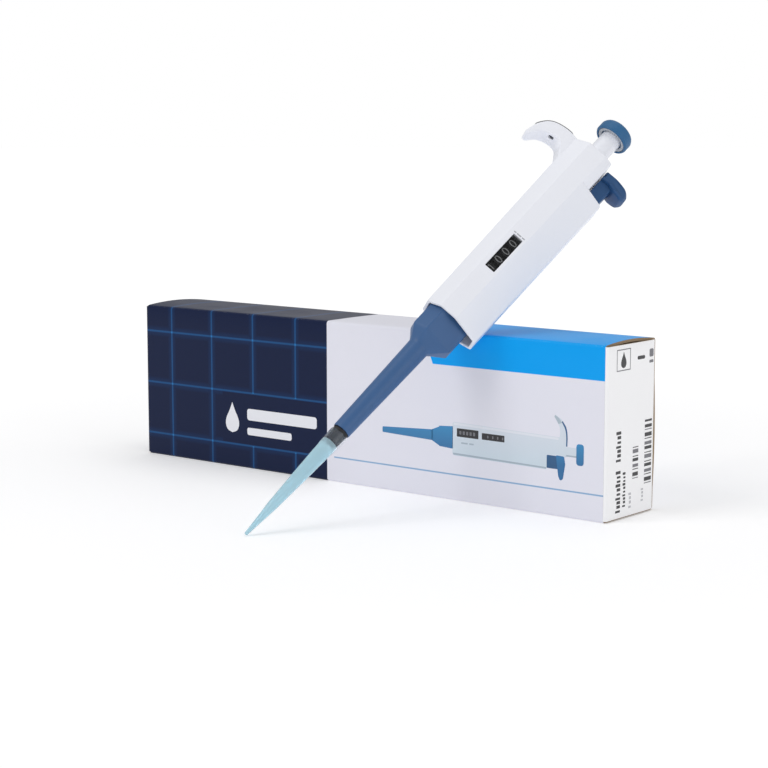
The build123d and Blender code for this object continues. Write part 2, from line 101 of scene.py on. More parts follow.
# %% [markdown]
# Every outline below is a short list of corners in millimetres. Real mouldings have no sharp corners,
# so one helper turns each corner into a small arc, and another runs a smooth curve through points.
# %% Outlines
def rounded(corners, radius, steps=4):
    """Closed flat outline with its corners turned into arcs; radius is one number or one per corner."""
    count = len(corners)
    radii = radius if isinstance(radius, (list, tuple)) else [radius] * count
    outline = []
    for i, corner in enumerate(corners):
        here = Vector(corner)
        before = Vector(corners[i - 1]) - here
        after = Vector(corners[(i + 1) % count]) - here
        half = before.angle(after) / 2
        reach = min(radii[i] / math.tan(half), 0.49 * before.length, 0.49 * after.length)
        before.normalize()
        after.normalize()
        if reach < 1e-6:
            outline += [tuple(here)] * (steps + 1)
            continue
        size = reach * math.tan(half)
        centre = here + (before + after).normalized() * (size / math.sin(half))
        start = here + before * reach - centre
        stop = here + after * reach - centre
        first = math.atan2(start.y, start.x)
        turn = (math.atan2(stop.y, stop.x) - first + math.pi) % (2 * math.pi) - math.pi
        for k in range(steps + 1):
            angle = first + turn * k / steps
            outline.append((centre.x + size * math.cos(angle), centre.y + size * math.sin(angle)))
    return outline


def through(points, per_span=6):
    """Smooth curve through points of any dimension."""
    dots = [Vector(p) for p in points]
    dots = [2 * dots[0] - dots[1]] + dots + [2 * dots[-1] - dots[-2]]
    curve = []
    for a, b, c, d in zip(dots, dots[1:], dots[2:], dots[3:]):
        for k in range(per_span):
            t = k / per_span
            curve.append(0.5 * (2 * b + (c - a) * t + (2 * a - 5 * b + 4 * c - d) * t ** 2
                                + (3 * b - a - 3 * c + d) * t ** 3))
    return curve + [dots[-2]]


def moved_in(corners, distance):
    """Outline of straight sides with every side moved inwards; it runs counter-clockwise."""
    sides = []
    for a, b in zip(corners, corners[1:] + corners[:1]):
        along = (Vector(b) - Vector(a)).normalized()
        sides.append((Vector(a) + Vector((-along.y, along.x)) * distance, along))
    result = []
    for (p, u), (q, v) in zip(sides[-1:] + sides[:-1], sides):
        t = (q - p).cross(v) / u.cross(v)
        result.append(tuple(p + u * t))
    return result


def oblong(x0, y0, x1, y1, radius=0.3, steps=3):
    """Rectangle with rounded corners."""
    return rounded([(x0, y0), (x1, y0), (x1, y1), (x0, y1)], radius, steps)


print("corner arc of", len(oblong(0, 0, 4, 4, 1)), "points")

# %% [markdown]
# Three ways of making a solid cover nearly everything here. Turned parts spin a profile about the
# middle, as a lathe does. Mouldings with changing sections are skinned over a stack of outlines.
# Holes and joints are cut or welded with Blender's exact booleans and then fixed in the mesh.
# %% Solids
MERGE = 2e-7


def mesh_of(name, points, faces):
    """Mesh from points in millimetres."""
    mesh = bpy.data.meshes.new(name)
    mesh.from_pydata([[c * MM for c in p] for p in points], [], faces)
    return mesh


def tidied(mesh, merge=0.0):
    """Joins points closer than merge, and turns every face to look outwards."""
    shape = bmesh.new()
    shape.from_mesh(mesh)
    if merge:
        bmesh.ops.remove_doubles(shape, verts=shape.verts, dist=merge)
    bmesh.ops.recalc_face_normals(shape, faces=shape.faces)
    shape.to_mesh(mesh)
    shape.free()
    return mesh


def added(name, data, place=None):
    """New object in the scene."""
    piece = bpy.data.objects.new(name, data)
    bpy.context.scene.collection.objects.link(piece)
    if place:
        piece.matrix_world = place
    return piece


def solid(name, points, faces, place=PIPETTE, crease=32):
    """Object from points in millimetres, whose edges sharper than crease stay crisp."""
    return crisp(added(name, tidied(mesh_of(name, points, faces), MERGE), place), crease)


def crisp(piece, crease=32):
    piece.data.shade_smooth()
    piece.data.set_sharp_from_angle(angle=math.radians(crease))
    return piece


def skinned(name, rings, closed=False, place=PIPETTE, crease=32):
    """Skin over rings of equally many points, with the two ends capped unless it closes on itself."""
    count = len(rings[0])
    points = [p for ring in rings for p in ring]
    pairs = [(a, a + 1) for a in range(len(rings) - 1)] + ([(len(rings) - 1, 0)] if closed else [])
    faces = [(a * count + k, a * count + (k + 1) % count, b * count + (k + 1) % count, b * count + k)
             for a, b in pairs for k in range(count)]
    if not closed:
        faces += [tuple(range(count))[::-1], tuple(range(len(points) - count, len(points)))]
    return solid(name, points, faces, place, crease)


def turned(name, profile, count=96, crease=32):
    """Solid spun about z from a closed (radius, z) profile."""
    rings = [[(r * math.cos(a), r * math.sin(a), z) for r, z in profile]
             for a in [2 * math.pi * k / count for k in range(count)]]
    return skinned(name, rings, closed=True, crease=crease)


def level(outline, z):
    return [(x, y, z) for x, y in outline]


def box(name, x0, x1, y0, y1, z0, z1, radius=0.3):
    """Upright block with its four standing edges rounded."""
    outline = oblong(x0, y0, x1, y1, radius)
    return skinned(name, [level(outline, z0), level(outline, z1)])


def combine(piece, tool, how="DIFFERENCE", crease=32):
    """Cuts the tool out of the piece or welds it on, and fixes the result in the piece's mesh."""
    change = piece.modifiers.new("change", "BOOLEAN")
    change.object, change.operation, change.solver = tool, how, "EXACT"
    result = bpy.data.meshes.new_from_object(piece.evaluated_get(bpy.context.evaluated_depsgraph_get()))
    piece.modifiers.clear()
    piece.data = result
    bpy.data.objects.remove(tool)
    return crisp(piece, crease)


def fit(piece, body, slot, *nodes, materials=()):
    """The piece rides on a body, takes a finish, and stands for the mechanical nodes named."""
    piece.data.transform(piece.matrix_world)
    piece.matrix_world = Matrix()
    for material in materials:
        piece.data.materials.append(material)
    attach(piece, body)
    if nodes:
        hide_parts(*nodes)
    print(piece.name, "on", body, "with", len(piece.data.polygons), "faces")
    return piece


print("ready to make solids, with points joined below", MERGE, "m")

# %% [markdown]
# Colour and gloss come from shader nodes. A small helper places a node, sets its values and links its
# inputs in one line, which keeps each recipe short enough to read as a list of steps.
# %% Shader helpers
def node(tree, kind, /, settings=(), **inputs):
    """Adds a node; inputs are values or sockets, named with _ for spaces or n0, n1 for places."""
    made = tree.nodes.new(kind)
    for key, value in dict(settings).items():
        setattr(made, key, value)
    for key, value in inputs.items():
        place = int(key[1:]) if key[0] == "n" and key[1:].isdigit() else key.replace("_", " ")
        if isinstance(value, bpy.types.NodeSocket):
            tree.links.new(value, made.inputs[place])
        else:
            made.inputs[place].default_value = value
    return made


def math_node(tree, how, *values):
    inputs = {"n%d" % k: value for k, value in enumerate(values)}
    return node(tree, "ShaderNodeMath", {"operation": how}, **inputs).outputs[0]


def plus(tree, first, second):
    return math_node(tree, "ADD", first, second)


def minus(tree, first, second):
    return math_node(tree, "SUBTRACT", first, second)


def times(tree, first, second):
    return math_node(tree, "MULTIPLY", first, second)


def greater(tree, first, second):
    return math_node(tree, "MAXIMUM", first, second)


def noise(tree, place, scale, detail, **more):
    return node(tree, "ShaderNodeTexNoise", Vector=place, Scale=scale, Detail=detail, **more).outputs[0]


def mix_colour(tree, share, first, second):
    return node(tree, "ShaderNodeMix", {"data_type": "RGBA"}, n0=share, n6=first, n7=second).outputs[2]


def toned(tree, tint, amount):
    """The tint, lighter or darker as the amount is above or below 1."""
    return node(tree, "ShaderNodeVectorMath", {"operation": "SCALE"}, n0=tint, Scale=amount).outputs[0]


def ramp(tree, value, low, high, out_low=0.0, out_high=1.0):
    return node(tree, "ShaderNodeMapRange", Value=value, From_Min=low, From_Max=high,
                To_Min=out_low, To_Max=out_high).outputs[0]


def group(name, inputs, outputs):
    """Empty shader group; inputs is {name: default} with colours, vectors or numbers."""
    tree = bpy.data.node_groups.new(name, "ShaderNodeTree")
    for label, default in inputs.items():
        if isinstance(default, tuple):
            kind = "NodeSocketColor" if len(default) == 4 else "NodeSocketVector"
        else:
            kind = "NodeSocketFloat"
        tree.interface.new_socket(name=label, in_out="INPUT", socket_type=kind).default_value = default
    for label in outputs:
        kind = "NodeSocketColor" if label == "Colour" else "NodeSocketFloat"
        tree.interface.new_socket(name=label, in_out="OUTPUT", socket_type=kind)
    return tree, tree.nodes.new("NodeGroupInput").outputs, tree.nodes.new("NodeGroupOutput").inputs


def send(tree, out, **results):
    """Links what a group has worked out to its outputs."""
    for label, value in results.items():
        tree.links.new(value, out[label])


def surface(name, **sockets):
    """Material with one Principled shader; sockets are its plain values."""
    material = bpy.data.materials.new(name)
    material.use_nodes = True
    shader = material.node_tree.nodes["Principled BSDF"]
    for key, value in sockets.items():
        shader.inputs[key.replace("_", " ")].default_value = value
    return material, material.node_tree, shader


def where(tree):
    return tree.nodes.new("ShaderNodeTexCoord").outputs["Object"]


def use_group(tree, shared, **inputs):
    return node(tree, "ShaderNodeGroup", {"node_tree": shared}, **inputs)


def wire(tree, shader, made, depth, distance=0.0002):
    """Links a group's colour, roughness and height to the shader."""
    tree.links.new(made.outputs["Colour"], shader.inputs["Base Color"])
    tree.links.new(made.outputs["Roughness"], shader.inputs["Roughness"])
    bump = node(tree, "ShaderNodeBump", Strength=depth, Distance=distance, Height=made.outputs["Height"])
    tree.links.new(bump.outputs["Normal"], shader.inputs["Normal"])


print("shader helpers ready")

# %% [markdown]
# Moulded plastic copies the steel of its mould: a very fine grain, a faint unevenness where it cooled,
# and slightly duller patches where hands have been. One group makes all three from noise in the
# piece's own space, so that nothing slides, and each plastic sets its own grain and depth.
# %% Shared finish: moulded plastic
POSITION = (0.0, 0.0, 0.0)
FINISH = ["Colour", "Roughness", "Height"]
mould, got, out = group("moulded_plastic", {
    "Position": POSITION, "Tint": (0.8, 0.8, 0.8, 1.0), "Grain": 4000.0, "Unevenness": 0.03,
    "Gloss": 0.4, "Handling": 0.08}, FINISH)
broad = noise(mould, got["Position"], 38.0, 2.0)
hands = noise(mould, got["Position"], 85.0, 5.0, Roughness=0.65)
shade = times(mould, minus(mould, broad, 0.5), got["Unevenness"])
rub = times(mould, ramp(mould, hands, 0.42, 0.68), got["Handling"])
send(mould, out, Colour=toned(mould, got["Tint"], plus(mould, 1.0, times(mould, shade, 2.0))),
     Roughness=plus(mould, got["Gloss"], rub),
     Height=noise(mould, got["Position"], got["Grain"], 3.0))


def plastic(name, tint, gloss=0.38, grain=4000.0, depth=0.12, uneven=0.03, handling=0.08, **sockets):
    material, tree, shader = surface(name, **sockets)
    made = use_group(tree, mould, Position=where(tree), Tint=(*tint, 1), Grain=grain, Unevenness=uneven,
                     Gloss=gloss, Handling=handling)
    wire(tree, shader, made, depth)
    return material


handle_white = plastic("handle_white", (0.865, 0.88, 0.94), gloss=0.34, depth=0.05, uneven=0.012,
                       Coat_Weight=0.12, Coat_Roughness=0.25)
knob_blue = plastic("knob_blue", (0.026, 0.125, 0.280), gloss=0.42, depth=0.10, Specular_IOR_Level=0.35)
ejector_blue = plastic("ejector_blue", (0.022, 0.080, 0.205), gloss=0.40, depth=0.10, Specular_IOR_Level=0.35)
sleeve_blue = plastic("sleeve_blue", (0.045, 0.118, 0.275), gloss=0.36, grain=3200.0, depth=0.14, uneven=0.05,
                      Specular_IOR_Level=0.35)
pad_grey = plastic("pad_grey", (0.105, 0.110, 0.120), gloss=0.68, grain=5200.0, depth=0.25)
light_plastic = plastic("light_plastic", (0.46, 0.49, 0.53), gloss=0.5)
drum_black = plastic("drum_black", (0.010, 0.010, 0.012), gloss=0.5)
# Dark plastic of the nozzle; the same material also paints shade on the insert in the hook slot.
nozzle_dark = plastic("nozzle_dark", (0.010, 0.016, 0.034), gloss=0.22, depth=0.04)
seal_white = plastic("seal_white", (0.78, 0.78, 0.76), gloss=0.45)
figure_white = plastic("figure_white", (0.62, 0.63, 0.64), gloss=0.6, depth=0.0, uneven=0.06)
figure_grey = plastic("figure_grey", (0.42, 0.43, 0.46), gloss=0.6, depth=0.0, uneven=0.06)
rubber = plastic("seal_rubber", (0.012, 0.012, 0.013), gloss=0.6, grain=6000.0, depth=0.3)
print("plastics", [m.name for m in bpy.data.materials if m.use_nodes][-12:])

# %% [markdown]
# Turned steel and brass carry the fine rings that the cutting tool leaves. The rings follow the part,
# so noise is stretched: close together along the pipette and almost constant round it.
# %% Shared finish: turned metal
STAIN = (0.30, 0.29, 0.28, 1)
machined, got, out = group("turned_metal", {
    "Position": POSITION, "Tint": (0.6, 0.6, 0.6, 1.0), "Rings": 2600.0, "Gloss": 0.25}, FINISH)
along = node(machined, "ShaderNodeVectorMath", {"operation": "DOT_PRODUCT"}, n0=got["Position"],
             n1=tuple(axis))
rings = node(machined, "ShaderNodeTexNoise", {"noise_dimensions": "1D"}, W=along.outputs["Value"],
             Scale=got["Rings"], Detail=2.0).outputs[0]
stain = ramp(machined, noise(machined, got["Position"], 220.0, 4.0), 0.35, 0.75, 0.0, 0.25)
send(machined, out, Colour=mix_colour(machined, stain, got["Tint"], STAIN),
     Roughness=plus(machined, got["Gloss"], times(machined, rings, 0.15)), Height=rings)


def metal(name, tint, gloss, rings=2600.0):
    material, tree, shader = surface(name, Metallic=1.0)
    made = use_group(tree, machined, Position=where(tree), Tint=(*tint, 1), Rings=rings, Gloss=gloss)
    wire(tree, shader, made, 0.15, 0.00005)
    return material


steel = metal("steel", (0.58, 0.585, 0.60), 0.22)
spring_steel = metal("spring_steel", (0.46, 0.465, 0.48), 0.26, 900.0)
brass = metal("pinion_brass", (0.72, 0.50, 0.20), 0.28)
print("metals", steel.name, spring_steel.name, brass.name)

# %% [markdown]
# The tip is thin polypropylene with a light blue dye. Its cone is slightly milky, so it passes less
# than half the light and stays bright in front of dark things, and refraction draws its walls darker
# where they are seen edge on. Its rim is pressed tight on the dark nozzle and looks fully clear. The
# window over the counter is flat and very thin, so plain transparency shows the figures more cleanly.
# %% Clear parts
def clear(name, tint, share, bend, gloss):
    """See-through plastic whose gloss varies a little; share is how much light passes."""
    material, tree, shader = surface(name, Base_Color=(*tint, 1), Transmission_Weight=share, IOR=bend)
    spots = noise(tree, where(tree), 500.0, 3.0)
    tree.links.new(ramp(tree, spots, 0.3, 0.7, gloss, gloss + 0.06), shader.inputs["Roughness"])
    return material


tip_clear = clear("tip_clear", (0.66, 0.91, 1.0), 0.50, 1.22, 0.04)
tip_rim = clear("tip_rim", (0.93, 0.97, 1.0), 0.97, 1.16, 0.02)

window_clear, tree, shader = surface("window_clear", Base_Color=(0.015, 0.016, 0.018, 1), Alpha=0.22,
                                     IOR=1.49)
haze = noise(tree, where(tree), 300.0, 4.0)
tree.links.new(ramp(tree, haze, 0.3, 0.7, 0.04, 0.12), shader.inputs["Roughness"])
print("clear parts ready")

# %% [markdown]
# Carton board is paper: fibres give it a soft mottled tone and a slightly uneven face. The printed
# side has a thin gloss varnish, and along the folds the ink cracks and lets the pale stock through.
# %% Shared finish: paper
paper, got, out = group("paper_stock", {
    "Position": POSITION, "Tint": (0.8, 0.8, 0.8, 1.0), "Mottle": 0.03, "Gloss": 0.45}, FINISH)
fibre = noise(paper, got["Position"], 1500.0, 5.0, Roughness=0.6, Distortion=0.6)
cloud = noise(paper, got["Position"], 60.0, 3.0)
uneven = plus(paper, times(paper, fibre, 0.6), times(paper, cloud, 0.4))
mottle = times(paper, minus(paper, uneven, 0.5), times(paper, got["Mottle"], 2.0))
rough = times(paper, minus(paper, cloud, 0.5), 0.15)
send(paper, out, Colour=toned(paper, got["Tint"], plus(paper, 1.0, mottle)),
     Roughness=plus(paper, got["Gloss"], rough), Height=uneven)
print("paper group with", len(paper.nodes), "nodes")

# %% [markdown]
# The artwork on the carton is flat fields of ink, and they run round the folds: navy with a grid of
# blue lines at one end, pale lavender in the middle, and a cyan band along the upper edge. Masks
# worked out from the distance along the carton and the height make it exact at any size, where a
# painted picture would need an image.
# %% Carton artwork
NAVY, GLOW = (0.0050, 0.0120, 0.0480, 1), (0.0060, 0.0300, 0.1050, 1)
GRID, CROSSING = (0.0120, 0.0720, 0.2100, 1), (0.0200, 0.1700, 0.4600, 1)
PALE, CYAN, RULE = (0.800, 0.800, 0.880, 1), (0.0010, 0.3600, 0.9000, 1), (0.2700, 0.4400, 0.6600, 1)
NAVY_END = -0.0200
GRID_STEP = (0.0319, 0.0301)
GRID_START = (-0.1387, 0.0130)
GAP_START = -0.0985
LINE_HALF, HALO_HALF = 0.00055, 0.0024
CYAN_LOW = 0.0705
CYAN_START, CYAN_SLANT = 0.0526, 0.40
RULE_Z, RULE_HALF, RULE_RUN = 0.0137, 0.0004, (-0.0150, 0.1584)
EDGE = 0.0001


def inside(tree, value, low, high, soft=0.00008):
    """1 between low and high, with a soft edge."""
    rise = ramp(tree, value, low - soft, low + soft)
    fall = ramp(tree, value, high - soft, high + soft, 1.0, 0.0)
    return times(tree, rise, fall)


def repeated_line(tree, value, start, step, half):
    """1 on lines that repeat every step."""
    shifted = plus(tree, minus(tree, value, start), step * 20.5)
    offset = math_node(tree, "ABSOLUTE", minus(tree, math_node(tree, "MODULO", shifted, step), step / 2))
    return ramp(tree, offset, half * 0.6, half * 1.4, 1.0, 0.0)


artwork, got, out = group("carton_artwork", {"Along": 0.0, "Height": 0.0}, ["Colour"])
run, rise = got["Along"], got["Height"]
gap = times(artwork, inside(artwork, run, GAP_START, NAVY_END),
            inside(artwork, rise, GRID_START[1], GRID_START[1] + GRID_STEP[1]))
open_field = minus(artwork, 1.0, gap)
upright = repeated_line(artwork, run, GRID_START[0], GRID_STEP[0], LINE_HALF)
across = repeated_line(artwork, rise, GRID_START[1], GRID_STEP[1], LINE_HALF)
upright = times(artwork, upright, open_field)
halo = greater(artwork, repeated_line(artwork, run, GRID_START[0], GRID_STEP[0], HALO_HALF),
               repeated_line(artwork, rise, GRID_START[1], GRID_STEP[1], HALO_HALF))
halo = times(artwork, halo, open_field)
field = mix_colour(artwork, times(artwork, halo, 0.5), NAVY, GLOW)
field = mix_colour(artwork, greater(artwork, upright, across), field, GRID)
field = mix_colour(artwork, times(artwork, upright, across), field, CROSSING)
slant = minus(artwork, CYAN_START, times(artwork, minus(artwork, rise, CYAN_LOW), CYAN_SLANT))
cyan = times(artwork, inside(artwork, rise, CYAN_LOW, 1.0),
             ramp(artwork, minus(artwork, run, slant), -EDGE, EDGE))
rule = times(artwork, inside(artwork, rise, RULE_Z - RULE_HALF, RULE_Z + RULE_HALF),
             inside(artwork, run, *RULE_RUN))
plain = mix_colour(artwork, rule, mix_colour(artwork, cyan, PALE, CYAN), RULE)
past_navy = ramp(artwork, run, NAVY_END - EDGE, NAVY_END + EDGE)
send(artwork, out, Colour=mix_colour(artwork, past_navy, field, plain))
print("artwork group with", len(artwork.nodes), "nodes")

# %% [markdown]
# Cracked ink is a mask of its own: it is strong on the folds, fades within a millimetre, and is broken
# up by noise so that it reads as wear and not as a painted line.
# %% Shared finish: worn folds
worn, got, out = group("worn_folds", {"Position": POSITION, "Reach": 0.0007}, ["Mask"])
parts = node(worn, "ShaderNodeSeparateXYZ", Vector=got["Position"]).outputs


def to_side(tree, value, size):
    """Distance to the nearer of two faces at 0 and size."""
    return math_node(tree, "MINIMUM", math_node(tree, "ABSOLUTE", value),
                     math_node(tree, "ABSOLUTE", minus(tree, value, size)))


from_front = minus(worn, parts[1], carton_low.y)
to_fold = greater(worn, to_side(worn, from_front, DEPTH * MM), to_side(worn, parts[2], HEIGHT * MM))
close = minus(worn, 1.0, math_node(worn, "DIVIDE", to_fold, got["Reach"]))
broken = noise(worn, got["Position"], 900.0, 6.0, Roughness=0.7)
fleck = ramp(worn, plus(worn, broken, times(worn, close, 0.22)), 0.60, 0.78)
send(worn, out, Mask=times(worn, fleck, ramp(worn, close, 0.0, 0.3)))
print("worn folds group with", len(worn.nodes), "nodes")

# %% [markdown]
# Ink and bare board are materials of their own. Print takes its colour from the artwork and its wear
# from the folds, and an end panel carries the artwork on round the corner. Inside faces and cut edges
# show the grey board and its brown core.
# %% Printed and plain board
CRACKED = (0.70, 0.70, 0.74, 1)


def printed(name, turned_round=False):
    """Varnished print; on an end panel the artwork carries on round the fold."""
    material, tree, shader = surface(name, Specular_IOR_Level=0.12, Coat_Weight=0.03, Coat_Roughness=0.25)
    place = where(tree)
    parts = node(tree, "ShaderNodeSeparateXYZ", Vector=place).outputs
    run = minus(tree, carton_low.y - LENGTH * MM / 2, parts[1]) if turned_round else parts[0]
    art = use_group(tree, artwork, Along=run, Height=parts[2])
    wear = use_group(tree, worn, Position=place)
    colour = mix_colour(tree, times(tree, wear.outputs[0], 0.30), art.outputs[0], CRACKED)
    made = use_group(tree, paper, Position=place, Tint=colour, Mottle=0.025, Gloss=0.36)
    wire(tree, shader, made, 0.06)
    return material


def stock(name, tint, mottle=0.05, gloss=0.6, depth=0.15, **sockets):
    material, tree, shader = surface(name, **sockets)
    made = use_group(tree, paper, Position=where(tree), Tint=(*tint, 1), Mottle=mottle, Gloss=gloss)
    wire(tree, shader, made, depth)
    return material


carton_print = printed("carton_print")
carton_print_end = printed("carton_print_end", turned_round=True)
label_white = stock("label_white", (0.95, 0.95, 0.965), 0.02, 0.42, 0.06, Coat_Weight=0.2, Coat_Roughness=0.2)
board_grey = stock("board_grey", (0.56, 0.53, 0.49), 0.10, 0.8, 0.3)
kraft = stock("kraft_edge", (0.30, 0.215, 0.135), 0.16, 0.85, 0.6)
print("papers", carton_print.name, label_white.name, kraft.name)

# %% [markdown]
# The handle is one white moulding with eight soft-edged flats that widen slightly towards the knob. It
# could be cut from a block, but its section is the same eight corners all the way, so it is skinned
# over a stack of outlines: up the inside first, round the open lower rim, and up the outside. Above
# the shoulder the ejector side is cut away, which is the same outline with its last side moved in.
# %% Handle: outlines
HANDLE_END, SHOULDER_Z, HANDLE_TOP = 150.6, 255.0, 275.3
WALL, NECK_X, EDGE_R = 1.8, 9.8, 1.3
MEASURES = ("left", "flat0", "flat1", "right", "deep", "left_half", "right_half")
LOWER = dict(zip(MEASURES, (-12.5, -5.3, 4.6, 19.6, 13.2, 6.4, 5.6)))
UPPER = dict(zip(MEASURES, (-14.2, -6.1, 4.9, 20.2, 13.8, 6.8, 6.2)))


def handle_size(z):
    """The handle's measures at height z."""
    share = (z - HANDLE_END) / (HANDLE_TOP - HANDLE_END)
    return {key: LOWER[key] + share * (UPPER[key] - LOWER[key]) for key in MEASURES}


def handle_ring(z, inset=0.0, trim=0.0, neck=False, height=None):
    """Outline of the handle at z; trim moves the ejector side in, and neck cuts that side away."""
    s = handle_size(z)
    right, half = s["right"] - trim, s["right_half"]
    if neck:
        share = (NECK_X - s["flat1"]) / (s["right"] - s["flat1"])
        right, half = NECK_X, s["deep"] + share * (s["right_half"] - s["deep"])
    lower = [(s["left"], -s["left_half"]), (s["flat0"], -s["deep"]), (s["flat1"], -s["deep"]), (right, -half)]
    corners = lower + [(x, -y) for x, y in reversed(lower)]
    if inset:
        corners = moved_in(corners, inset)
    return level(rounded(corners, max(EDGE_R - inset, 0.35), 5), z if height is None else height)


print("handle ring of", len(handle_ring(200.0)), "points")

# %% [markdown]
# The stack starts with the inside, so the finished skin is a hollow moulding with a real wall. Small
# steps at the lower rim, the shoulder and the top make their soft edges.
# %% Handle: body
rings = [handle_ring(270.8, WALL, neck=True), handle_ring(SHOULDER_Z - 1.6, WALL, neck=True),
         handle_ring(SHOULDER_Z - 1.9, WALL), handle_ring(HANDLE_END + 0.5, WALL)]
rings += [handle_ring(HANDLE_END, inset, height=HANDLE_END + lift)
          for inset, lift in ((WALL - 0.3, 0.0), (0.5, 0.0), (0.22, 0.10), (0.05, 0.32), (0.0, 0.6))]
rings += [handle_ring(SHOULDER_Z - drop, trim=trim)
          for drop, trim in ((0.8, 0.0), (0.4, 0.08), (0.12, 0.35), (0.0, 0.7))]
rings += [handle_ring(SHOULDER_Z + 0.02, neck=True)]
rings += [handle_ring(HANDLE_TOP, inset, neck=True, height=HANDLE_TOP - drop)
          for inset, drop in ((0.0, 1.0), (0.06, 0.6), (0.3, 0.2), (0.7, 0.0))]
handle = skinned("handle_shell_body", rings, crease=25)
print("handle faces", len(handle.data.polygons))

# %% [markdown]
# The finger hook grows out of the neck as a curved beak. Its side view is two curves, over and under;
# a soft-cornered section is stretched between them at each station and shrinks to close the end.
# %% Handle: finger hook
HOOK_OVER = through([(-9.0, 275.0), (-19.0, 276.4), (-28.3, 274.4), (-33.6, 268.8), (-36.0, 261.4)], 7)
HOOK_UNDER = through([(-9.0, 251.0), (-14.6, 261.5), (-18.5, 267.6), (-24.0, 268.2), (-29.6, 265.6),
                      (-33.2, 261.2)], 7)


def resampled(curve, count):
    """The same curve as count points at even steps of its index."""
    result = []
    for k in range(count):
        place = k * (len(curve) - 1) / (count - 1)
        low = min(int(place), len(curve) - 2)
        result.append(curve[low].lerp(curve[low + 1], place - low))
    return result


def hook_section(over, under, half, shrink=0.0):
    """Rounded section between a point on the upper curve and one on the lower."""
    middle, up = (over + under) / 2, over - under
    thick = up.length / 2 * (1 - shrink)
    up.normalize()
    wide = half * (1 - 0.5 * shrink)
    lower, upper = min(2.1, thick * 0.85), min(1.1, thick * 0.85)
    outline = oblong(-wide, -thick, wide, thick, [lower, lower, upper, upper], 6)
    return [(middle.x + up.x * h, y, middle.y + up.y * h) for y, h in outline]


STATIONS = 30
over, under = resampled(HOOK_OVER, STATIONS), resampled(HOOK_UNDER, STATIONS)
rings = [hook_section(over[k], under[k], 7.5 - 2.3 * (k / STATIONS) ** 2.5) for k in range(STATIONS)]
run_out = (over[-1] - over[-2]).normalized()
for push, shrink in ((0.55, 0.16), (0.95, 0.40), (1.15, 0.75)):
    rings.append(hook_section(over[-1] + run_out * push, under[-1] + run_out * push, 5.1, shrink))
hook = skinned("hook", rings, crease=40)
handle = combine(handle, hook, "UNION", crease=25)
print("hook ends at x", round(over[-1].x, 1))

# %% [markdown]
# Openings come last, each cut with its own tool: the counter window, the channel the ejector slides
# in, the bush pocket with the stem hole, and the small moulding slot under the hook.
# %% Handle: openings
COUNTER_Z, COUNTER_STEP = 183.2, 5.9
WINDOW_X = (-2.9, 3.1)
WINDOW_Z = (COUNTER_Z - 0.1, COUNTER_Z + 4 * COUNTER_STEP)
BLOCK_X, BLOCK_HALF, BLOCK_END, SLIDE = (10.4, 18.4), 5.4, 247.0, 0.3
STEM_R = 5.65

window = oblong(WINDOW_X[0], WINDOW_Z[0], WINDOW_X[1], WINDOW_Z[1], 0.35)
opening = skinned("opening", [[(x, y, z) for x, z in window] for y in (-18.0, -9.0)])
handle = combine(handle, opening, crease=25)
channel = box("channel", BLOCK_X[0] - SLIDE, BLOCK_X[1] + SLIDE, -BLOCK_HALF - SLIDE, BLOCK_HALF + SLIDE,
              236.5, SHOULDER_Z + 3.0, 0.9)
handle = combine(handle, channel, crease=25)
bore = turned("bore", [(0, 262.0), (8.6, 262.0), (8.6, 274.1), (STEM_R + 0.35, 274.1), (STEM_R + 0.35, 274.9),
                       (STEM_R + 0.75, 275.4), (STEM_R + 0.75, 277.0), (0, 277.0)])
handle = combine(handle, bore, crease=25)
slot = box("slot", -25.4, -22.4, -4.6, -1.4, 264.0, 269.9, 0.8)
handle = combine(handle, slot, crease=25)
fit(handle, "pipette_handle", "handle_white", "handle_shell", materials=[handle_white])

# %% [markdown]
# A dark piece set in the slot under the hook, a little below the surface, is painted shade: it stands for the
# shadow inside the slot.
# %% Painted shade in the hook slot
# Painted shade: a dark insert fills the slot where there would only be shadow.
fit(box("hook_slot_painted_shade", -25.3, -22.5, -4.5, -1.5, 268.9, 269.8, 0.7), "pipette_handle", "pad_grey",
    materials=[nozzle_dark])

# %% [markdown]
# A soft grey strip is let into the top of the hook, where the hand hangs from it. It follows the same
# upper curve as the hook, half a millimetre proud.
# %% Hook pad
PAD_PROUD, PAD_SUNK = 0.55, 0.7
pad_line = resampled(HOOK_OVER, 60)[9:50]
rings = []
for k, here in enumerate(pad_line):
    ahead = pad_line[min(k + 1, len(pad_line) - 1)] - pad_line[max(k - 1, 0)]
    up = Vector((ahead.y, -ahead.x)).normalized()
    if up.y < 0:
        up = -up
    ease = min(1.0, (min(k, len(pad_line) - 1 - k) + 0.6) / 3.0)
    half, proud = (6.7 - 1.5 * (k / len(pad_line)) ** 2) * (0.75 + 0.25 * ease), PAD_PROUD * ease
    outline = oblong(-half, -PAD_SUNK, half, proud)
    rings.append([(here.x + up.x * h, y, here.y + up.y * h) for y, h in outline])
fit(skinned("hook_pad_strip", rings), "pipette_handle", "pad_grey", "hook_pad", materials=[pad_grey])

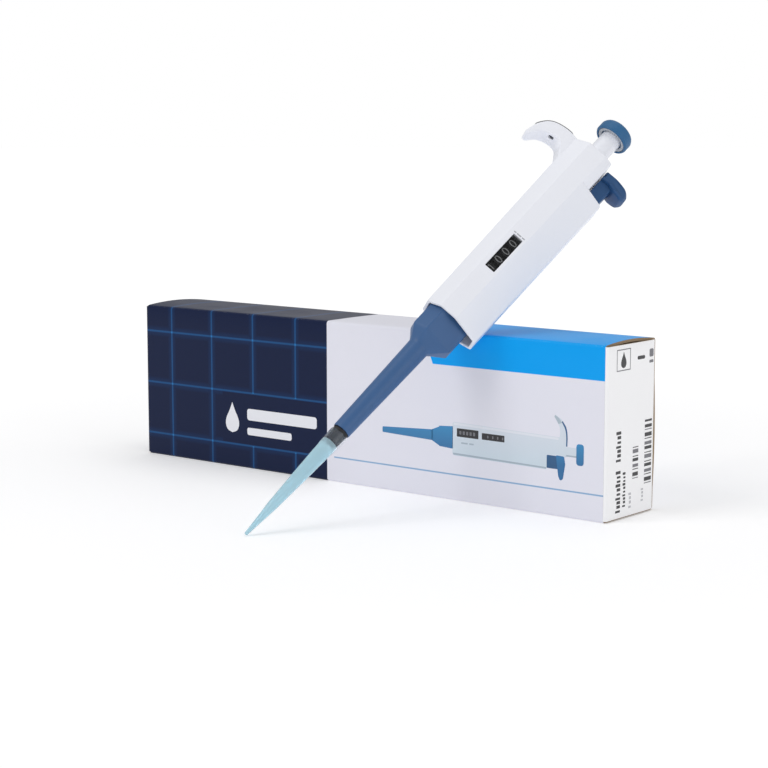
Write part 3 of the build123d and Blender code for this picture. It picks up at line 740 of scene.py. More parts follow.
# %% [markdown]
# The thumb knob is a shallow blue cap with a soft upper edge and a hollow underside, where a pale ring
# shows. Both are lathe work, and so is the white stem they stand on.
# %% Knob, ring and stem
KNOB_R, KNOB_TOP = 9.6, 299.6
STEM_TOP, STEM_END = KNOB_Z + 5.2, 246.0
cap = rounded([(0, KNOB_Z + 1.6), (8.25, KNOB_Z + 1.6), (8.25, KNOB_Z + 0.05), (9.05, KNOB_Z),
               (KNOB_R, KNOB_Z + 0.9), (KNOB_R, KNOB_Z + 5.0), (8.5, KNOB_Z + 7.1), (5.0, KNOB_TOP - 0.18),
               (0, KNOB_TOP)],
              [0, 0.3, 0.15, 0.3, 0.6, 1.6, 2.6, 6.0, 0], 5)
knob = turned("knob_cap_moulding", cap, 128, crease=40)
fit(knob, "volume_knob", "knob_blue", "knob_cap", materials=[knob_blue])
trim = turned("knob_trim_ring", oblong(6.4, KNOB_Z + 0.35, 8.1, KNOB_Z + 1.55, 0.25))
fit(trim, "volume_knob", "light_plastic", "knob_ring", materials=[light_plastic])
BORE_R, BORE_DEPTH = 4.5, 24
tube = rounded([(BORE_R, STEM_END), (STEM_R - 0.1, STEM_END), (STEM_R, STEM_TOP), (0, STEM_TOP),
                (0, STEM_END + BORE_DEPTH), (BORE_R, STEM_END + BORE_DEPTH)], [0.1, 0.4, 0.2, 0, 0, 0.2], 3)
stem = turned("plunger_stem", tube, crease=40)
fit(stem, "volume_knob", "handle_white", "stem", materials=[handle_white])

# %% [markdown]
# The tip ejector is a dark blue key: a square block that slides in the shoulder, under a thumb paddle
# that sticks out and narrows towards its rounded end. The paddle is drawn in side view and pushed out
# to both sides, with the outline shrinking over the last millimetre so that its edges are soft.
# %% Ejector key
def shrunk(outline, distance):
    """Smooth counter-clockwise outline moved inwards along its own normals."""
    result = []
    for k, here in enumerate(outline):
        along = (Vector(outline[(k + 1) % len(outline)]) - Vector(outline[k - 1])).normalized()
        result.append((here[0] - along.y * distance, here[1] + along.x * distance))
    return result


def even(outline, count):
    """Closed outline as count points at equal steps of its length."""
    dots = [Vector(p) for p in outline] + [Vector(outline[0])]
    lengths = [0.0]
    for a, b in zip(dots, dots[1:]):
        lengths.append(lengths[-1] + (b - a).length)
    result, k = [], 0
    for s in range(count):
        goal = lengths[-1] * s / count
        while lengths[k + 1] < goal:
            k += 1
        share = (goal - lengths[k]) / max(lengths[k + 1] - lengths[k], 1e-9)
        result.append(dots[k].lerp(dots[k + 1], share))
    return result


PADDLE_HALF, PADDLE_TOP, PADDLE_TIP = 8.2, 272.6, 27.3
NARROW_FROM, NARROW_BY = 14.0, 0.84
paddle_side = [(BLOCK_X[0], 267.0), (15.0, 267.4), (20.0, 265.7), (25.2, 265.3), (PADDLE_TIP, 266.9),
               (PADDLE_TIP, 269.8), (24.6, 271.9), (17.0, 272.7), (BLOCK_X[0], PADDLE_TOP)]
outline = even(rounded(paddle_side, [0.6, 3.0, 6.0, 2.0, 1.5, 1.8, 6.0, 8.0, 0.9], 6), 120)
rings = []
for out_y, inset in ((-1.0, 1.3), (-0.97, 0.8), (-0.92, 0.4), (-0.84, 0.12), (-0.74, 0.0),
                     (0.74, 0.0), (0.84, 0.12), (0.92, 0.4), (0.97, 0.8), (1.0, 1.3)):
    ring = []
    for x, z in shrunk(outline, inset):
        narrow = math.sqrt(1 - NARROW_BY * max(0.0, (x - NARROW_FROM) / (PADDLE_TIP - NARROW_FROM)) ** 3)
        ring.append((x, out_y * PADDLE_HALF * narrow, z))
    rings.append(ring)
key = skinned("ejector_key", rings, crease=35)
end, block = [oblong(BLOCK_X[0] + inset, -BLOCK_HALF + inset, BLOCK_X[1] - inset, BLOCK_HALF - inset, 0.9, 4)
              for inset in (0.4, 0.0)]
slider = skinned("slider", [level(end, BLOCK_END), level(block, BLOCK_END + 0.5), level(block, 270.4)])
key = combine(key, slider, "UNION", crease=35)
fit(key, "ejector", "ejector_blue", "ejector_lever", materials=[ejector_blue])

# %% [markdown]
# The ejector sleeve is a long slate blue tube that flares into a six-sided collar and slides inside
# the handle. A round tube and a six-sided collar need rings that match point for point, so each side
# of the collar gets the same number of points as one sixth of the circle.
# %% Ejector sleeve
SLEEVE_END, FLARE_START, FLARE_END, SLEEVE_TOP = 70.75, 130.3, 138.2, 162.0
COLLAR = [(-10.1, -4.9), (-3.0, -10.7), (13.4, -4.7), (13.4, 4.7), (-3.0, 10.7), (-10.1, 4.9)]
COLLAR_WALL = 1.15
ARC_STEPS, SIDE_STEPS = 6, 9


def between(first, second, count):
    """Evenly spaced points between two corners."""
    return [tuple(Vector(first).lerp(Vector(second), s / (count + 1))) for s in range(1, count + 1)]


def collar_ring(z, inset=0.0):
    """Six-sided outline with points along its sides as well as round its corners."""
    corners = moved_in(COLLAR, inset) if inset else COLLAR
    outline = rounded(corners, max(0.9 - inset, 0.3), ARC_STEPS)
    ring = []
    for k in range(6):
        arc = outline[k * (ARC_STEPS + 1):(k + 1) * (ARC_STEPS + 1)]
        ahead = outline[((k + 1) * (ARC_STEPS + 1)) % len(outline)]
        ring += arc + between(arc[-1], ahead, SIDE_STEPS)
    return level(ring, z)


def round_ring(radius, z):
    """Circle whose points follow the collar's corners round."""
    bearings = [math.atan2(y, x) for x, y in COLLAR]
    per_side = ARC_STEPS + 1 + SIDE_STEPS
    ring = []
    for k, start in enumerate(bearings):
        gap = (bearings[(k + 1) % 6] - start) % (2 * math.pi)
        for s in range(per_side):
            angle = start + gap * (s - ARC_STEPS / 2) / per_side
            ring.append((radius * math.cos(angle), radius * math.sin(angle)))
    return level(ring, z)


def eased(first, second, share):
    return [tuple(Vector(a).lerp(Vector(b), share)) for a, b in zip(first, second)]


FLARE = [(0.0, 0.0), (0.06, 0.02), (0.25, 0.19), (0.5, 0.47), (0.75, 0.76), (0.93, 0.96), (1.0, 1.0)]
TUBE_R, UPPER_BORE_R, LOWER_BORE_R = 5.85, 5.15, 4.32
rings = [collar_ring(SLEEVE_TOP, COLLAR_WALL), collar_ring(FLARE_END + 0.6, COLLAR_WALL),
         round_ring(UPPER_BORE_R, FLARE_START + 0.9), round_ring(LOWER_BORE_R, SLEEVE_END + 0.4)]
rings += [round_ring(radius, SLEEVE_END + up)
          for radius, up in ((4.36, 0.1), (4.45, 0.0), (4.62, 0.06), (4.72, 0.3), (4.76, 0.7))]
start, stop = round_ring(TUBE_R, 0.0), collar_ring(0.0)
for up, out_share in FLARE:
    z = FLARE_START + up * (FLARE_END - FLARE_START)
    rings.append([(x, y, z) for x, y, _ in eased(start, stop, out_share)])
rings += [collar_ring(SLEEVE_TOP - 0.3), collar_ring(SLEEVE_TOP, 0.25)]
sleeve = skinned("ejector_sleeve_moulding", rings, closed=True, crease=38)
lug = box("lug", 12.2, 17.4, -2.9, 2.9, SLEEVE_TOP - 5.5, SLEEVE_TOP - 0.1, 0.5)
sleeve = combine(sleeve, lug, "UNION", crease=38)
fit(sleeve, "ejector", "sleeve_blue", "ejector_sleeve", materials=[sleeve_blue])

# %% [markdown]
# The tip is a disposable cone. Its wall is under half a millimetre, with a thicker rim that grips the
# nozzle and a small step where the fit ends, which catches the light as a faint ring.
# %% Tip
TIP_TOP, NOZZLE_END = 68.8, 62.3
outer = [(0.85, 0.0), (1.62, 9.5), (2.55, 19.5), (3.5, 39.5), (4.22, 58.6), (4.32, 59.4), (4.5, 66.2),
         (4.62, 66.5), (4.62, TIP_TOP)]
inner = [(4.17, TIP_TOP), (4.05, NOZZLE_END), (3.0, 39.5), (2.1, 19.5), (1.2, 9.5), (0.4, 0.0)]
profile = rounded(outer + inner, [0.15, 4, 4, 6, 0.5, 0.5, 0.2, 0.2, 0.18, 0.15, 0.6, 6, 4, 4, 0.1], 4)
cone = turned("pipette_tip_cone", profile, crease=50)
cone.data.materials.append(tip_clear)
cone.data.materials.append(tip_rim)
for face in cone.data.polygons:
    face.material_index = 1 if face.center.z > NOZZLE_END * MM else 0
fit(cone, "pipette_tip", "tip_clear", "tip")

# %% [markdown]
# Each number ring carries ten figures. A font would give flat letters with too few points to bend, so
# every figure is drawn as pen strokes, lines and arcs, and each stroke is laid on the drum as a thin
# raised ribbon. The ring at the knob end counts in fives, so its figures alternate.
# %% Figures as pen strokes
def arc(cx, cy, rx, ry, start, stop, steps=18):
    return [(cx + rx * math.cos(math.radians(start + (stop - start) * k / steps)),
             cy + ry * math.sin(math.radians(start + (stop - start) * k / steps))) for k in range(steps + 1)]


FIGURES = {
    0: [arc(0, 0, 0.95, 1.85, 0, 360, 32)],
    1: [[(-0.6, 1.15), (0.05, 1.85), (0.05, -1.85)]],
    2: [arc(0, 0.9, 0.95, 0.95, 165, -35) + [(-1.0, -1.85), (1.0, -1.85)]],
    3: [arc(0, 0.95, 0.9, 0.9, 150, -85), arc(0, -0.9, 0.98, 0.95, 90, -150)],
    4: [[(0.5, -1.85), (0.5, 1.85), (-1.05, -0.75), (1.1, -0.75)]],
    5: [[(0.85, 1.85), (-0.75, 1.85), (-0.85, 0.2)] + arc(0, -0.75, 1.0, 1.1, 130, -140)],
    6: [arc(0, -0.8, 0.95, 1.05, 0, 360, 26), arc(0.9, -0.7, 1.85, 2.6, 100, 178)],
    7: [[(-1.0, 1.85), (1.0, 1.85), (-0.35, -1.85)]],
    8: [arc(0, 0.95, 0.82, 0.9, 0, 360, 24), arc(0, -0.9, 0.98, 0.95, 0, 360, 26)],
    9: [arc(0, 0.8, 0.95, 1.05, 0, 360, 26), arc(-0.9, 0.7, 1.85, 2.6, -80, -2)],
}


def ribbon(stroke, width, place_point):
    """Thin raised strip along a stroke; place_point(x, y, height) bends it onto the drum."""
    line = [Vector(stroke[0])]
    for dot in stroke[1:]:
        dot = Vector(dot)
        parts = max(1, math.ceil((dot - line[-1]).length / 0.3))
        start = line[-1]
        line += [start.lerp(dot, k / parts) for k in range(1, parts + 1)]
    points, faces = [], []
    for k, here in enumerate(line):
        ahead = (line[min(k + 1, len(line) - 1)] - line[max(k - 1, 0)]).normalized()
        across = Vector((-ahead.y, ahead.x)) * width / 2
        for offset, height in ((across, 0.05), (-across, 0.05), (-across, -0.08), (across, -0.08)):
            points.append(place_point(here.x + offset.x, here.y + offset.y, height))
    for k in range(len(line) - 1):
        for s in range(4):
            faces.append((4 * k + s, 4 * k + (s + 1) % 4, 4 * k + 4 + (s + 1) % 4, 4 * k + 4 + s))
    last = 4 * (len(line) - 1)
    return points, faces + [(3, 2, 1, 0), (last, last + 1, last + 2, last + 3)]


print("strokes in all ten figures", sum(len(strokes) for strokes in FIGURES.values()))

# %% [markdown]
# Each ring gets its ten figures, 36 degrees apart, as one piece that turns with it. The figures start
# at the one that shows in the window and sit a little towards the knob, clear of the window's edge.
# %% Figures on the number rings
DRUM_R, DRUM_W, FIGURE_PEN, FIGURE_SCALE, FIGURE_SHIFT = 10.5, 4.3, 0.46, 1.12, 0.45
RINGS = (("thousands", 1, "counter_thousands"), ("hundreds", 0, "counter_hundreds"),
         ("tens", 0, "counter_tens"), ("units", 0, "counter_drive"))
for place, (label, shown, body) in enumerate(RINGS):
    middle = COUNTER_Z + place * COUNTER_STEP + DRUM_W / 2 + FIGURE_SHIFT
    points, faces = [], []
    for k in range(10):
        figure = (5 * k) % 10 if label == "units" else (shown - k) % 10
        bearing = math.radians(-90 + 36 * k)

        def on_drum(x, y, height):
            turn = bearing - y * FIGURE_SCALE / DRUM_R
            radius = DRUM_R + height
            return (radius * math.cos(turn), radius * math.sin(turn), middle + x * FIGURE_SCALE)

        for stroke in FIGURES[figure]:
            more_points, more_faces = ribbon(stroke, FIGURE_PEN, on_drum)
            faces += [tuple(i + len(points) for i in face) for face in more_faces]
            points += more_points
    fit(solid("figures_" + label, points, faces), body, "counter_black", materials=[figure_white])

# %% [markdown]
# Above the window is a small printed row that names the unit. It is kept as three plain bars.
# %% Printed bars by the window
BARS_Z = (WINDOW_Z[1] + 0.75, WINDOW_Z[1] + 1.45)
face_y = -handle_size(sum(BARS_Z) / 2)["deep"]
bars = None
for x0, x1 in ((-3.6, -2.2), (-1.7, 1.1), (1.6, 3.4)):
    outline = oblong(x0, BARS_Z[0], x1, BARS_Z[1], 0.15, 2)
    strip = skinned("strip", [[(x, face_y + depth, z) for x, z in outline] for depth in (0.05, -0.03)])
    bars = combine(bars, strip, "UNION") if bars else strip
bars.name = "unit_bars"
fit(bars, "pipette_handle", "counter_black", materials=[figure_grey])

# %% [markdown]
# Springs are made again as true round wire with closed end coils, and each one rides on the body that holds
# it.
# %% Springs
def coil(name, radius, wire, z0, z1, turns, x=0.0):
    """Compression spring from z0 to z1 whose last turn at each end lies flat."""
    steps = int(turns * 28)
    low, high = z0 + wire / 2, z1 - wire / 2
    rings = []
    for k in range(steps + 1):
        share = k / steps
        angle = 2 * math.pi * turns * share
        lead = min(max((share * turns - 0.8) / (turns - 1.6), 0.0), 1.0)
        seat = min(share * turns, 0.8) - min((1 - share) * turns, 0.8)
        z = min(max(low + (high - low) * lead + wire * 0.5 * seat, low), high)
        hub = Vector((x + radius * math.cos(angle), radius * math.sin(angle), z))
        outward = Vector((math.cos(angle), math.sin(angle), 0.0))
        rings.append([tuple(hub + (outward * math.cos(t) + Vector((0, 0, 1)) * math.sin(t)) * wire / 2)
                      for t in [2 * math.pi * s / 10 for s in range(10)]])
    return skinned(name, rings)


PLATE_TOP, STOP_Z = 210.4, 222.0
SPRINGS = (("blowout_spring", "blowout_stop", "blowout_press", 4.6, 1.0, PLATE_TOP + 2, STOP_Z - 2.5, 3.4, 0),
           ("plunger_spring", "plunger", "plunger_press", 5.2, 0.7, STOP_Z, STEM_END, 8.5, 0),
           ("ejector_spring", "ejector", "ejector_press", 2.6, 0.6, PLATE_TOP + 2, BLOCK_END, 13, 14.8))
for label, body, joint, radius, wire_size, z0, z1, turns, x in SPRINGS:
    made = coil(label + "_wire", radius, wire_size, z0, z1, turns, x)
    fit(made, body, "spring_steel", label, materials=[spring_steel])
    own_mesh(made)

# %% [markdown]
# Everything else inside the pipette has the right shape already: pistons, rods, gears and plates. It
# only needs its finish, so the mechanical nodes keep their meshes and get new materials.
# %% Inner parts keep their shapes
FINISHES = {
    light_plastic: ["top_bush", "counter_frame", "spring_seat", "base_plate", "coupling_nut", "chamber_cap",
                    "stop_nut", "drive_sleeve"],
    window_clear: ["window_lens"],
    nozzle_dark: ["nozzle"],
    rubber: ["nozzle_ring", "piston_o_ring"],
    seal_white: ["piston_seal"],
    steel: ["pinion_shaft", "stop_washer", "piston", "piston_rod", "rod_head", "lead_screw", "ejector_rod"],
    drum_black: ["number_ring_" + label for label in ("thousands", "hundreds", "tens", "units")],
    brass: ["transfer_pinion_" + label for label in ("thousands", "hundreds", "tens")],
    board_grey: ["carton_glue_flap"] + ["carton_%s_%s" % (end, flap) for end in ("right", "left")
                                        for flap in ("tuck", "dust_top", "dust_bottom")],
}
for material, names in FINISHES.items():
    for name in names:
        part = frame["nodes"][name]
        part.data.materials.clear()
        part.data.materials.append(material)
print("finished inner parts", sum(len(names) for names in FINISHES.values()))

# %% [markdown]
# The carton's long walls are one folded sheet, so they are one piece here: a tube with rounded folds.
# Board never stays flat, so the top wall lifts a little at its open ends. The outside is printed, the
# inside is plain board, and the cut edges show the brown core.
# %% Carton sleeve
BOARD, FOLD_R, SIDE_POINTS = 1.5, 1.6, 8
HALF_LENGTH = LENGTH / 2
LIFT, END_LIFT, LIFT_REACH = 0.15, 1.15, 55.0
BULGE, BULGE_REACH, BULGE_Z, BULGE_HALF = 1.25, 30.0, 38.0, 28.0


def lift_at(x, y):
    """How far the top wall bows up near its open ends."""
    near_end = max(0.0, 1 - (HALF_LENGTH - abs(x)) / LIFT_REACH) ** 2
    across = 1 - ((y - DEPTH / 2) / (DEPTH / 2 - FOLD_R)) ** 2
    return (LIFT + END_LIFT * near_end) * max(0.0, across)


def bulge_at(x, z):
    """How far the back wall springs outwards at the right-hand end, where the flaps push it."""
    near_end = max(0.0, 1 - (HALF_LENGTH - x) / BULGE_REACH) ** 2
    return BULGE * near_end * max(0.0, 1 - ((z - BULGE_Z) / BULGE_HALF) ** 2)


def sleeve_ring(x, inset):
    """Section of the folded tube: four sides with extra points, and rounded folds."""
    arcs = oblong(inset, inset, DEPTH - inset, HEIGHT - inset, max(FOLD_R - inset, 0.3), 4)
    ring = []
    for k in range(4):
        fold = arcs[k * 5:(k + 1) * 5]
        ring += fold + between(fold[-1], arcs[((k + 1) * 5) % 20], SIDE_POINTS)
    result = []
    for y, z in ring:
        top = max(0.0, (z - HEIGHT * 0.9) / (HEIGHT * 0.1))
        rear = bulge_at(x, z) if y > DEPTH / 2 else 0.0
        result.append((x, y + rear, z + lift_at(x, y) * min(1.0, top * 1.2)))
    return result


stations = [HALF_LENGTH - 1.55 - d for d in (0.0, 4, 9, 16, 26, 40, 60, 100)]
stations = stations + [0.0] + [-x for x in reversed(stations)]
outside = [sleeve_ring(x, 0.0) for x in stations]
within = [sleeve_ring(x, BOARD) for x in reversed(stations)]
sleeve_tube = skinned("carton_sleeve", outside + within, closed=True, place=CARTON, crease=50)
for face in sleeve_tube.data.polygons:
    from_middle = Vector((0, face.center.y / MM - DEPTH / 2, face.center.z / MM - HEIGHT / 2))
    edge_on = abs(face.normal.x) > 0.7
    face.material_index = 2 if edge_on else (1 if from_middle.dot(face.normal) < 0 else 0)
fit(sleeve_tube, "carton", "carton_print", "carton_front", "carton_back", "carton_top", "carton_bottom",
    materials=[carton_print, board_grey, kraft])

# %% [markdown]
# Each end is closed by a panel that folds round from the front wall and tucks in at the back. The fold
# is part of the panel, a soft quarter round, so the front seems to run into the end without a break.
# %% Carton end panels
PANEL_BACK, PANEL_GAP = DEPTH - BOARD - 1.1, 0.9


def end_panel(name, side_sign):
    """Panel seen from above as a bent strip, repeated up its height."""
    heights = [PANEL_GAP, PANEL_GAP + 0.25]
    heights += [HEIGHT * k / 12 for k in range(1, 12)]
    heights += [HEIGHT - 1.0, HEIGHT - 0.75]
    fold = [(-BOARD + BOARD * math.sin(a), BOARD - BOARD * math.cos(a))
            for a in [math.pi / 2 * k / 6 for k in range(7)]]
    steps = [PANEL_BACK * k / 10 for k in range(1, 10)]
    rings = []
    for z in heights:
        trim = 0.072 if z in (heights[0], heights[-1]) else 0.0
        outer = [(x - trim, y) for x, y in fold + [(0.0, y) for y in steps]]
        outer += [(-0.3, PANEL_BACK), (-0.8, PANEL_BACK + 0.1)]
        inner = [(-BOARD, y) for y in [PANEL_BACK + 0.1] + steps[::-1] + [0.4]]
        rings.append([(side_sign * (HALF_LENGTH + x), y, z) for x, y in outer + inner])
    return skinned(name, rings, place=CARTON, crease=50)


for end, sign, face_material in (("right", 1, label_white), ("left", -1, carton_print_end)):
    panel = end_panel("carton_%s_end_panel" % end, sign)
    for face in panel.data.polygons:
        outward = face.normal.x * sign > 0.3 or (face.normal.y < -0.3 and face.center.y < 0.002)
        edge_on = abs(face.normal.z) > 0.7 or face.normal.y > 0.7
        face.material_index = 0 if outward else (2 if edge_on else 1)
    fit(panel, "carton_%s_closure" % end, "carton_print", "carton_%s_end" % end,
        materials=[face_material, board_grey, kraft])

# %% [markdown]
# Printed shapes with their own outlines, such as the small drawing of the pipette, are thin films laid
# on the board, a few hundredths of a millimetre proud. Each ink is a soft blend from a lighter to a
# darker tone down the drawing, which gives the flat picture its roundness.
# %% Inks
def ink(name, upper, lower=None, z_low=0, z_high=88):
    """Ink that blends from the lower tone at one height to the upper tone at another."""
    material, tree, shader = surface(name, Coat_Weight=0.2, Coat_Roughness=0.2)
    place = where(tree)
    rise = node(tree, "ShaderNodeSeparateXYZ", Vector=place).outputs[2]
    tint = mix_colour(tree, ramp(tree, rise, z_low * MM, z_high * MM), (*(lower or upper), 1), (*upper, 1))
    made = use_group(tree, paper, Position=place, Tint=tint, Mottle=0.02, Gloss=0.4)
    wire(tree, shader, made, 0.05)
    return material


TONES = {
    "body": ((0.66, 0.72, 0.80), (0.60, 0.70, 0.78), 24, 39),
    "shade": ((0.42, 0.50, 0.57), (0.36, 0.44, 0.52), 22, 40),
    "pale": ((0.76, 0.79, 0.86),),
    "blue": ((0.025, 0.24, 0.50), (0.015, 0.14, 0.34), 26, 38),
    "deep": ((0.015, 0.10, 0.25), (0.012, 0.08, 0.20), 18, 40),
    "black": ((0.012, 0.012, 0.016),),
    "grey": ((0.16, 0.16, 0.18),),
    "faint": ((0.50, 0.50, 0.53),),
    "white": ((0.82, 0.83, 0.88),),
}
INKS = {label: ink("ink_" + label, *tones) for label, tones in TONES.items()}
print("inks", list(INKS))

# %% [markdown]
# One helper lays any number of outlines as films and joins them in one piece. Each film is a closed
# plate that starts inside the board, and a higher layer is a little thicker, so it covers the others.
# %% Printed films
SUNK, FILM, LAYER = 0.04, 0.02, 0.012


def films(name, body, shapes, lay):
    """One piece of printed films; each shape is (outline, ink, layer), and lay(u, v, depth) places it."""
    points, faces, inks, used = [], [], [], []
    for outline, colour, layer in shapes:
        count, first = len(outline), len(points)
        points += [lay(u, v, depth) for depth in (-SUNK, FILM + LAYER * layer) for u, v in outline]
        sides = [(first + k, first + (k + 1) % count, first + count + (k + 1) % count, first + count + k)
                 for k in range(count)]
        ends = [tuple(range(first, first + count))[::-1], tuple(range(first + count, first + 2 * count))]
        faces += sides + ends
        if colour not in used:
            used.append(colour)
        inks += [used.index(colour)] * (count + 2)
    mesh = mesh_of(name, points, faces)
    mesh.polygons.foreach_set("material_index", inks)
    return fit(added(name, tidied(mesh), CARTON), body, "carton_print", materials=[INKS[c] for c in used])


print("film from", FILM + LAYER, "mm thick")

# %% [markdown]
# The drawing on the front shows the pipette lying on its side. It is built from the same parts as the
# real one: tube, flare, collar, body, window, hook, stem, knob and ejector key.
# %% The drawing of the pipette
def on_front(u, v, depth):
    return (u, -depth, v)


def spline(out_way, way_back):
    """Closed outline of two smooth curves."""
    return [tuple(p) for p in through(out_way, 5)] + [tuple(p) for p in through(way_back, 5)]


drawing = [
    (rounded([(19.0, 31.2), (52.6, 30.3), (52.6, 36.0), (19.0, 34.2)], 0.5), "blue", 1),
    (rounded([(52.2, 30.3), (57.2, 27.9), (57.2, 38.0), (52.2, 36.0)], 0.3), "blue", 1),
    (rounded([(57.0, 27.7), (66.0, 27.2), (66.0, 39.0), (57.0, 38.4)], 0.4), "blue", 2),
    (rounded([(65.8, 25.0), (66.6, 23.9), (124.8, 23.2), (124.8, 30.4), (132.0, 30.4), (136.6, 30.6),
              (136.6, 38.6), (132.2, 40.2), (66.6, 41.4), (65.8, 40.5)],
             [0.4, 0.6, 0.6, 0.2, 0.2, 0.6, 1.0, 1.0, 0.6, 0.4]), "body", 2),
    (rounded([(66.2, 39.9), (131.8, 38.8), (131.8, 40.0), (66.6, 41.1)], 0.3), "pale", 3),
    (rounded([(66.2, 24.2), (124.6, 23.5), (124.6, 24.3), (66.2, 25.2)], 0.3), "shade", 3),
    (spline([(131.6, 37.4), (132.7, 42.2), (132.0, 46.2), (129.1, 50.5)],
            [(129.7, 51.3), (133.8, 49.0), (136.2, 45.2), (136.9, 41.0), (136.6, 37.0)]), "body", 3),
    (spline([(131.6, 46.8), (130.6, 48.4), (129.1, 50.4)],
            [(129.7, 51.2), (132.2, 49.6), (133.8, 47.6)]), "shade", 4),
    (spline([(136.3, 36.0), (136.3, 41.0), (135.6, 44.6), (133.6, 48.0)],
            [(134.1, 48.6), (136.3, 45.4), (137.1, 41.0), (137.0, 36.0)]), "deep", 4),
    (oblong(136.4, 31.0, 142.6, 35.8, 0.3), "body", 1),
    (oblong(136.4, 31.0, 142.6, 31.8, 0.2), "shade", 2),
    (oblong(142.4, 27.2, 146.8, 38.0, 1.5), "blue", 2),
    (oblong(124.8, 24.0, 131.8, 30.6, 0.4), "deep", 4),
    (rounded([(130.4, 31.0), (135.2, 30.8), (135.9, 26.8), (134.6, 19.4), (133.0, 18.2), (131.8, 20.6),
              (131.0, 26.0)], [0.4, 0.8, 1.5, 1.4, 0.9, 1.2, 1.5]), "blue", 5),
    (oblong(68.6, 33.9, 82.4, 38.3, 0.3), "black", 4),
    (oblong(84.6, 34.0, 98.8, 37.4, 0.3), "black", 4),
    (oblong(71.4, 30.4, 75.6, 31.2, 0.2), "shade", 4),
    (oblong(76.6, 30.4, 79.4, 31.2, 0.2), "shade", 4),
]
drawing += [(oblong(70.2 + 2.2 * k, 35.2, 71.5 + 2.2 * k, 37.0, 0.2), "grey", 5) for k in range(5)]
drawing += [(oblong(88.0 + 3.1 * k, 35.0, 88.8 + 3.1 * k, 36.4, 0.2), "grey", 5) for k in range(4)]
films("print_drawing", "carton", drawing, on_front)

# %% [markdown]
# The large word on the navy field is replaced by a plain mark that says the same thing without
# letters: a drop, and two bars as wide as the word was.
# %% The mark on the navy field
def drop(u, v, size):
    """Outline of a falling drop, pointed at the top."""
    curve = [(0.0, 1.55), (0.32, 0.85), (0.68, 0.20), (0.78, -0.35), (0.55, -0.85), (0.0, -1.08)]
    right = [tuple(p) for p in through(curve, 5)]
    left = [(-x, y) for x, y in reversed(right[1:-1])]
    return [(u + x * size, v + y * size) for x, y in (right + left)[::-1]]


mark = [drop(-91.0, 26.6, 6.6), oblong(-79.5, 27.6, -27.5, 34.2, 1.6), oblong(-79.5, 19.2, -46.0, 23.4, 1.2)]
films("print_mark", "carton", [(outline, "white", 1) for outline in mark], on_front)

# %% [markdown]
# The right end carries the label: a boxed drop, rows of blocks that stand for lines of text, and two
# groups of stripes of uneven width. The text ran up the panel, so its rows stand upright. Block and
# stripe widths come from short repeating rules, which encode nothing.
# %% The label on the right end
def on_end(u, v, depth):
    return (HALF_LENGTH + depth, u, v)


def stripes(u0, u1, v0, v1):
    """Stripes across the strip from v0 to v1, of widths that follow a rule."""
    result, v, k = [], v0, 0
    while v < v1:
        width = 0.45 + 0.38 * ((k * k + 3 * k) % 5)
        result.append((oblong(u0, v, u1, min(v + width, v1), 0.05), "black" if k % 3 else "grey", 1))
        v += width + 0.5 + 0.28 * ((2 * k + 1) % 4)
        k += 1
    return result


def row(u0, u1, v0, v1, count, colour="black"):
    """A line of text that runs up the panel, kept as blocks as wide as its letters."""
    result, step, v = [], (v1 - v0) / count, v0
    for k in range(count):
        length = step * (0.52 + 0.09 * ((k * k + k) % 4))
        drop_by = (u1 - u0) * (0.25 if (k * 5) % 3 else 0.0)
        result.append((oblong(u0 + drop_by, v, u1, v + length, 0.25), colour, 1))
        v += step
    return result


BOX_LEFT, BOX_LOW, BOX_RIGHT, BOX_HIGH, BOX_LINE = 8.0, 74.4, 20.6, 85.2, 0.5
in_left, in_low, in_right, in_high = (BOX_LEFT + BOX_LINE, BOX_LOW + BOX_LINE, BOX_RIGHT - BOX_LINE,
                                      BOX_HIGH - BOX_LINE)
box_lines = ((BOX_LEFT, BOX_LOW, BOX_RIGHT, in_low), (BOX_LEFT, in_high, BOX_RIGHT, BOX_HIGH),
             (BOX_LEFT, in_low, in_left, in_high), (in_right, in_low, BOX_RIGHT, in_high))
label = [(oblong(*corners, 0.1), "grey", 1) for corners in box_lines]
label += [(drop(14.3, 79.0, 3.1), "black", 1), (oblong(27.0, 78.6, 34.0, 80.4, 0.8), "black", 1),
          (oblong(38.2, 76.0, 42.0, 77.4), "grey", 1), (oblong(38.2, 79.0, 42.0, 83.0, 0.8), "grey", 1)]
label += row(8.6, 13.0, 3.8, 25.4, 10) + row(8.6, 13.0, 29.4, 45.2, 7) + row(15.0, 17.6, 6.0, 24.0, 10)
label += row(20.6, 23.0, 4.6, 13.4, 4, "faint") + row(32.2, 34.4, 6.4, 13.8, 4, "faint")
label += stripes(24.0, 29.2, 19.0, 36.0) + stripes(35.0, 41.6, 15.0, 47.5)
films("print_label", "carton_right_closure", label, on_end)

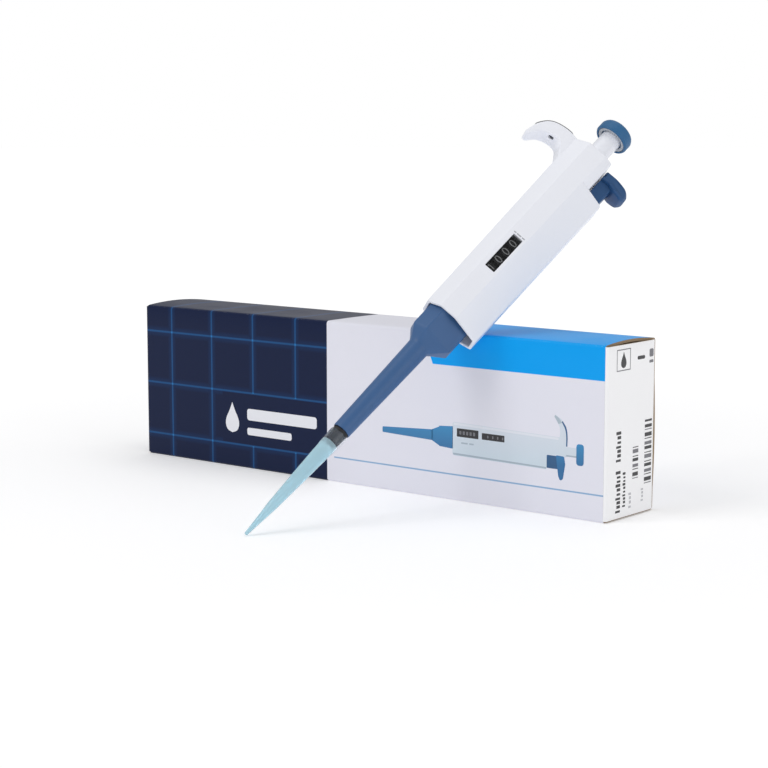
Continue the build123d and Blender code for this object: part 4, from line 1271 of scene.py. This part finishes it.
# %% [markdown]
# The set stands on a plain pale floor in soft studio light: a broad key from the upper left, a weaker
# fill from the right, and an even glow all round. Broad lights keep the shadows soft, and the floor is
# nearly as bright as the room, so it runs into the background without a line.
# %% Floor and light
FLOOR_R, FLOOR_SIDES = 9000.0, 96
rim = [2 * math.pi * k / FLOOR_SIDES for k in range(FLOOR_SIDES)]
floor = added("floor", mesh_of("floor", [(FLOOR_R * math.cos(a), FLOOR_R * math.sin(a), 0.0) for a in rim],
                               [tuple(range(FLOOR_SIDES))]))
floor_white, tree, shader = surface("floor_white", Roughness=0.75, Emission_Strength=1.0)
far_off = node(tree, "ShaderNodeVectorMath", {"operation": "LENGTH"}, n0=where(tree))
fade = ramp(tree, far_off.outputs["Value"], 0.22, 0.60)
for socket, near_tone, far_tone in (("Base Color", (0.90, 0.90, 0.91, 1), (0.0, 0.0, 0.0, 1)),
                                    ("Emission Color", (0.22, 0.22, 0.22, 1), (1.0, 1.0, 1.0, 1))):
    tree.links.new(mix_colour(tree, fade, near_tone, far_tone), shader.inputs[socket])
floor.data.materials.append(floor_white)


def soft_light(name, position, target, size, power):
    """Square area light aimed at a point."""
    lamp = bpy.data.lights.new(name, "AREA")
    lamp.size, lamp.energy = size, power
    holder = added(name, lamp)
    holder.location = position
    holder.rotation_euler = (Vector(target) - Vector(position)).to_track_quat("-Z", "Y").to_euler()
    print(name, "light of", power, "W")


middle = (cad_box[0] + cad_box[1]) / 2
soft_light("key", (-0.55, -1.25, 1.45), middle, 0.9, 9.0)
soft_light("fill", (1.90, -0.15, 0.50), middle, 1.0, 3.6)
soft_light("top", (0.1, 0.35, 1.7), middle, 1.2, 5.0)

world = bpy.data.worlds.new("studio")
bpy.context.scene.world = world
world.use_nodes = True
glow = world.node_tree.nodes["Background"]
glow.inputs["Color"].default_value = (1.0, 1.0, 1.0, 1)
glow.inputs["Strength"].default_value = 0.55
shown = node(world.node_tree, "ShaderNodeBackground", Color=(1, 1, 1, 1), Strength=1.0)
seen = node(world.node_tree, "ShaderNodeLightPath")
blend_in = node(world.node_tree, "ShaderNodeMixShader", n0=seen.outputs[0], n1=glow.outputs[0],
                n2=shown.outputs[0])
world.node_tree.links.new(blend_in.outputs[0], world.node_tree.nodes["World Output"].inputs["Surface"])
bpy.context.scene.view_settings.view_transform = "Standard"

# %% [markdown]
# The camera looks along the counter face from just above table height, with a long lens that keeps
# the carton's lines nearly parallel.
# %% Camera
AZIMUTH, ELEVATION, DISTANCE = math.radians(39.1), math.radians(8.0), 1.043
TARGET = Vector((0.020, carton_low.y, 0.057))
view_back = Vector((math.sin(AZIMUTH) * math.cos(ELEVATION), -math.cos(AZIMUTH) * math.cos(ELEVATION),
                    math.sin(ELEVATION)))
camera = added("camera", bpy.data.cameras.new("camera"))
camera.location = TARGET + view_back * DISTANCE
camera.rotation_euler = view_back.to_track_quat("Z", "Y").to_euler()
camera.data.sensor_width, camera.data.lens = 36.0, 92.06
bpy.context.scene.camera = camera
print("camera at", [round(c, 3) for c in camera.location])
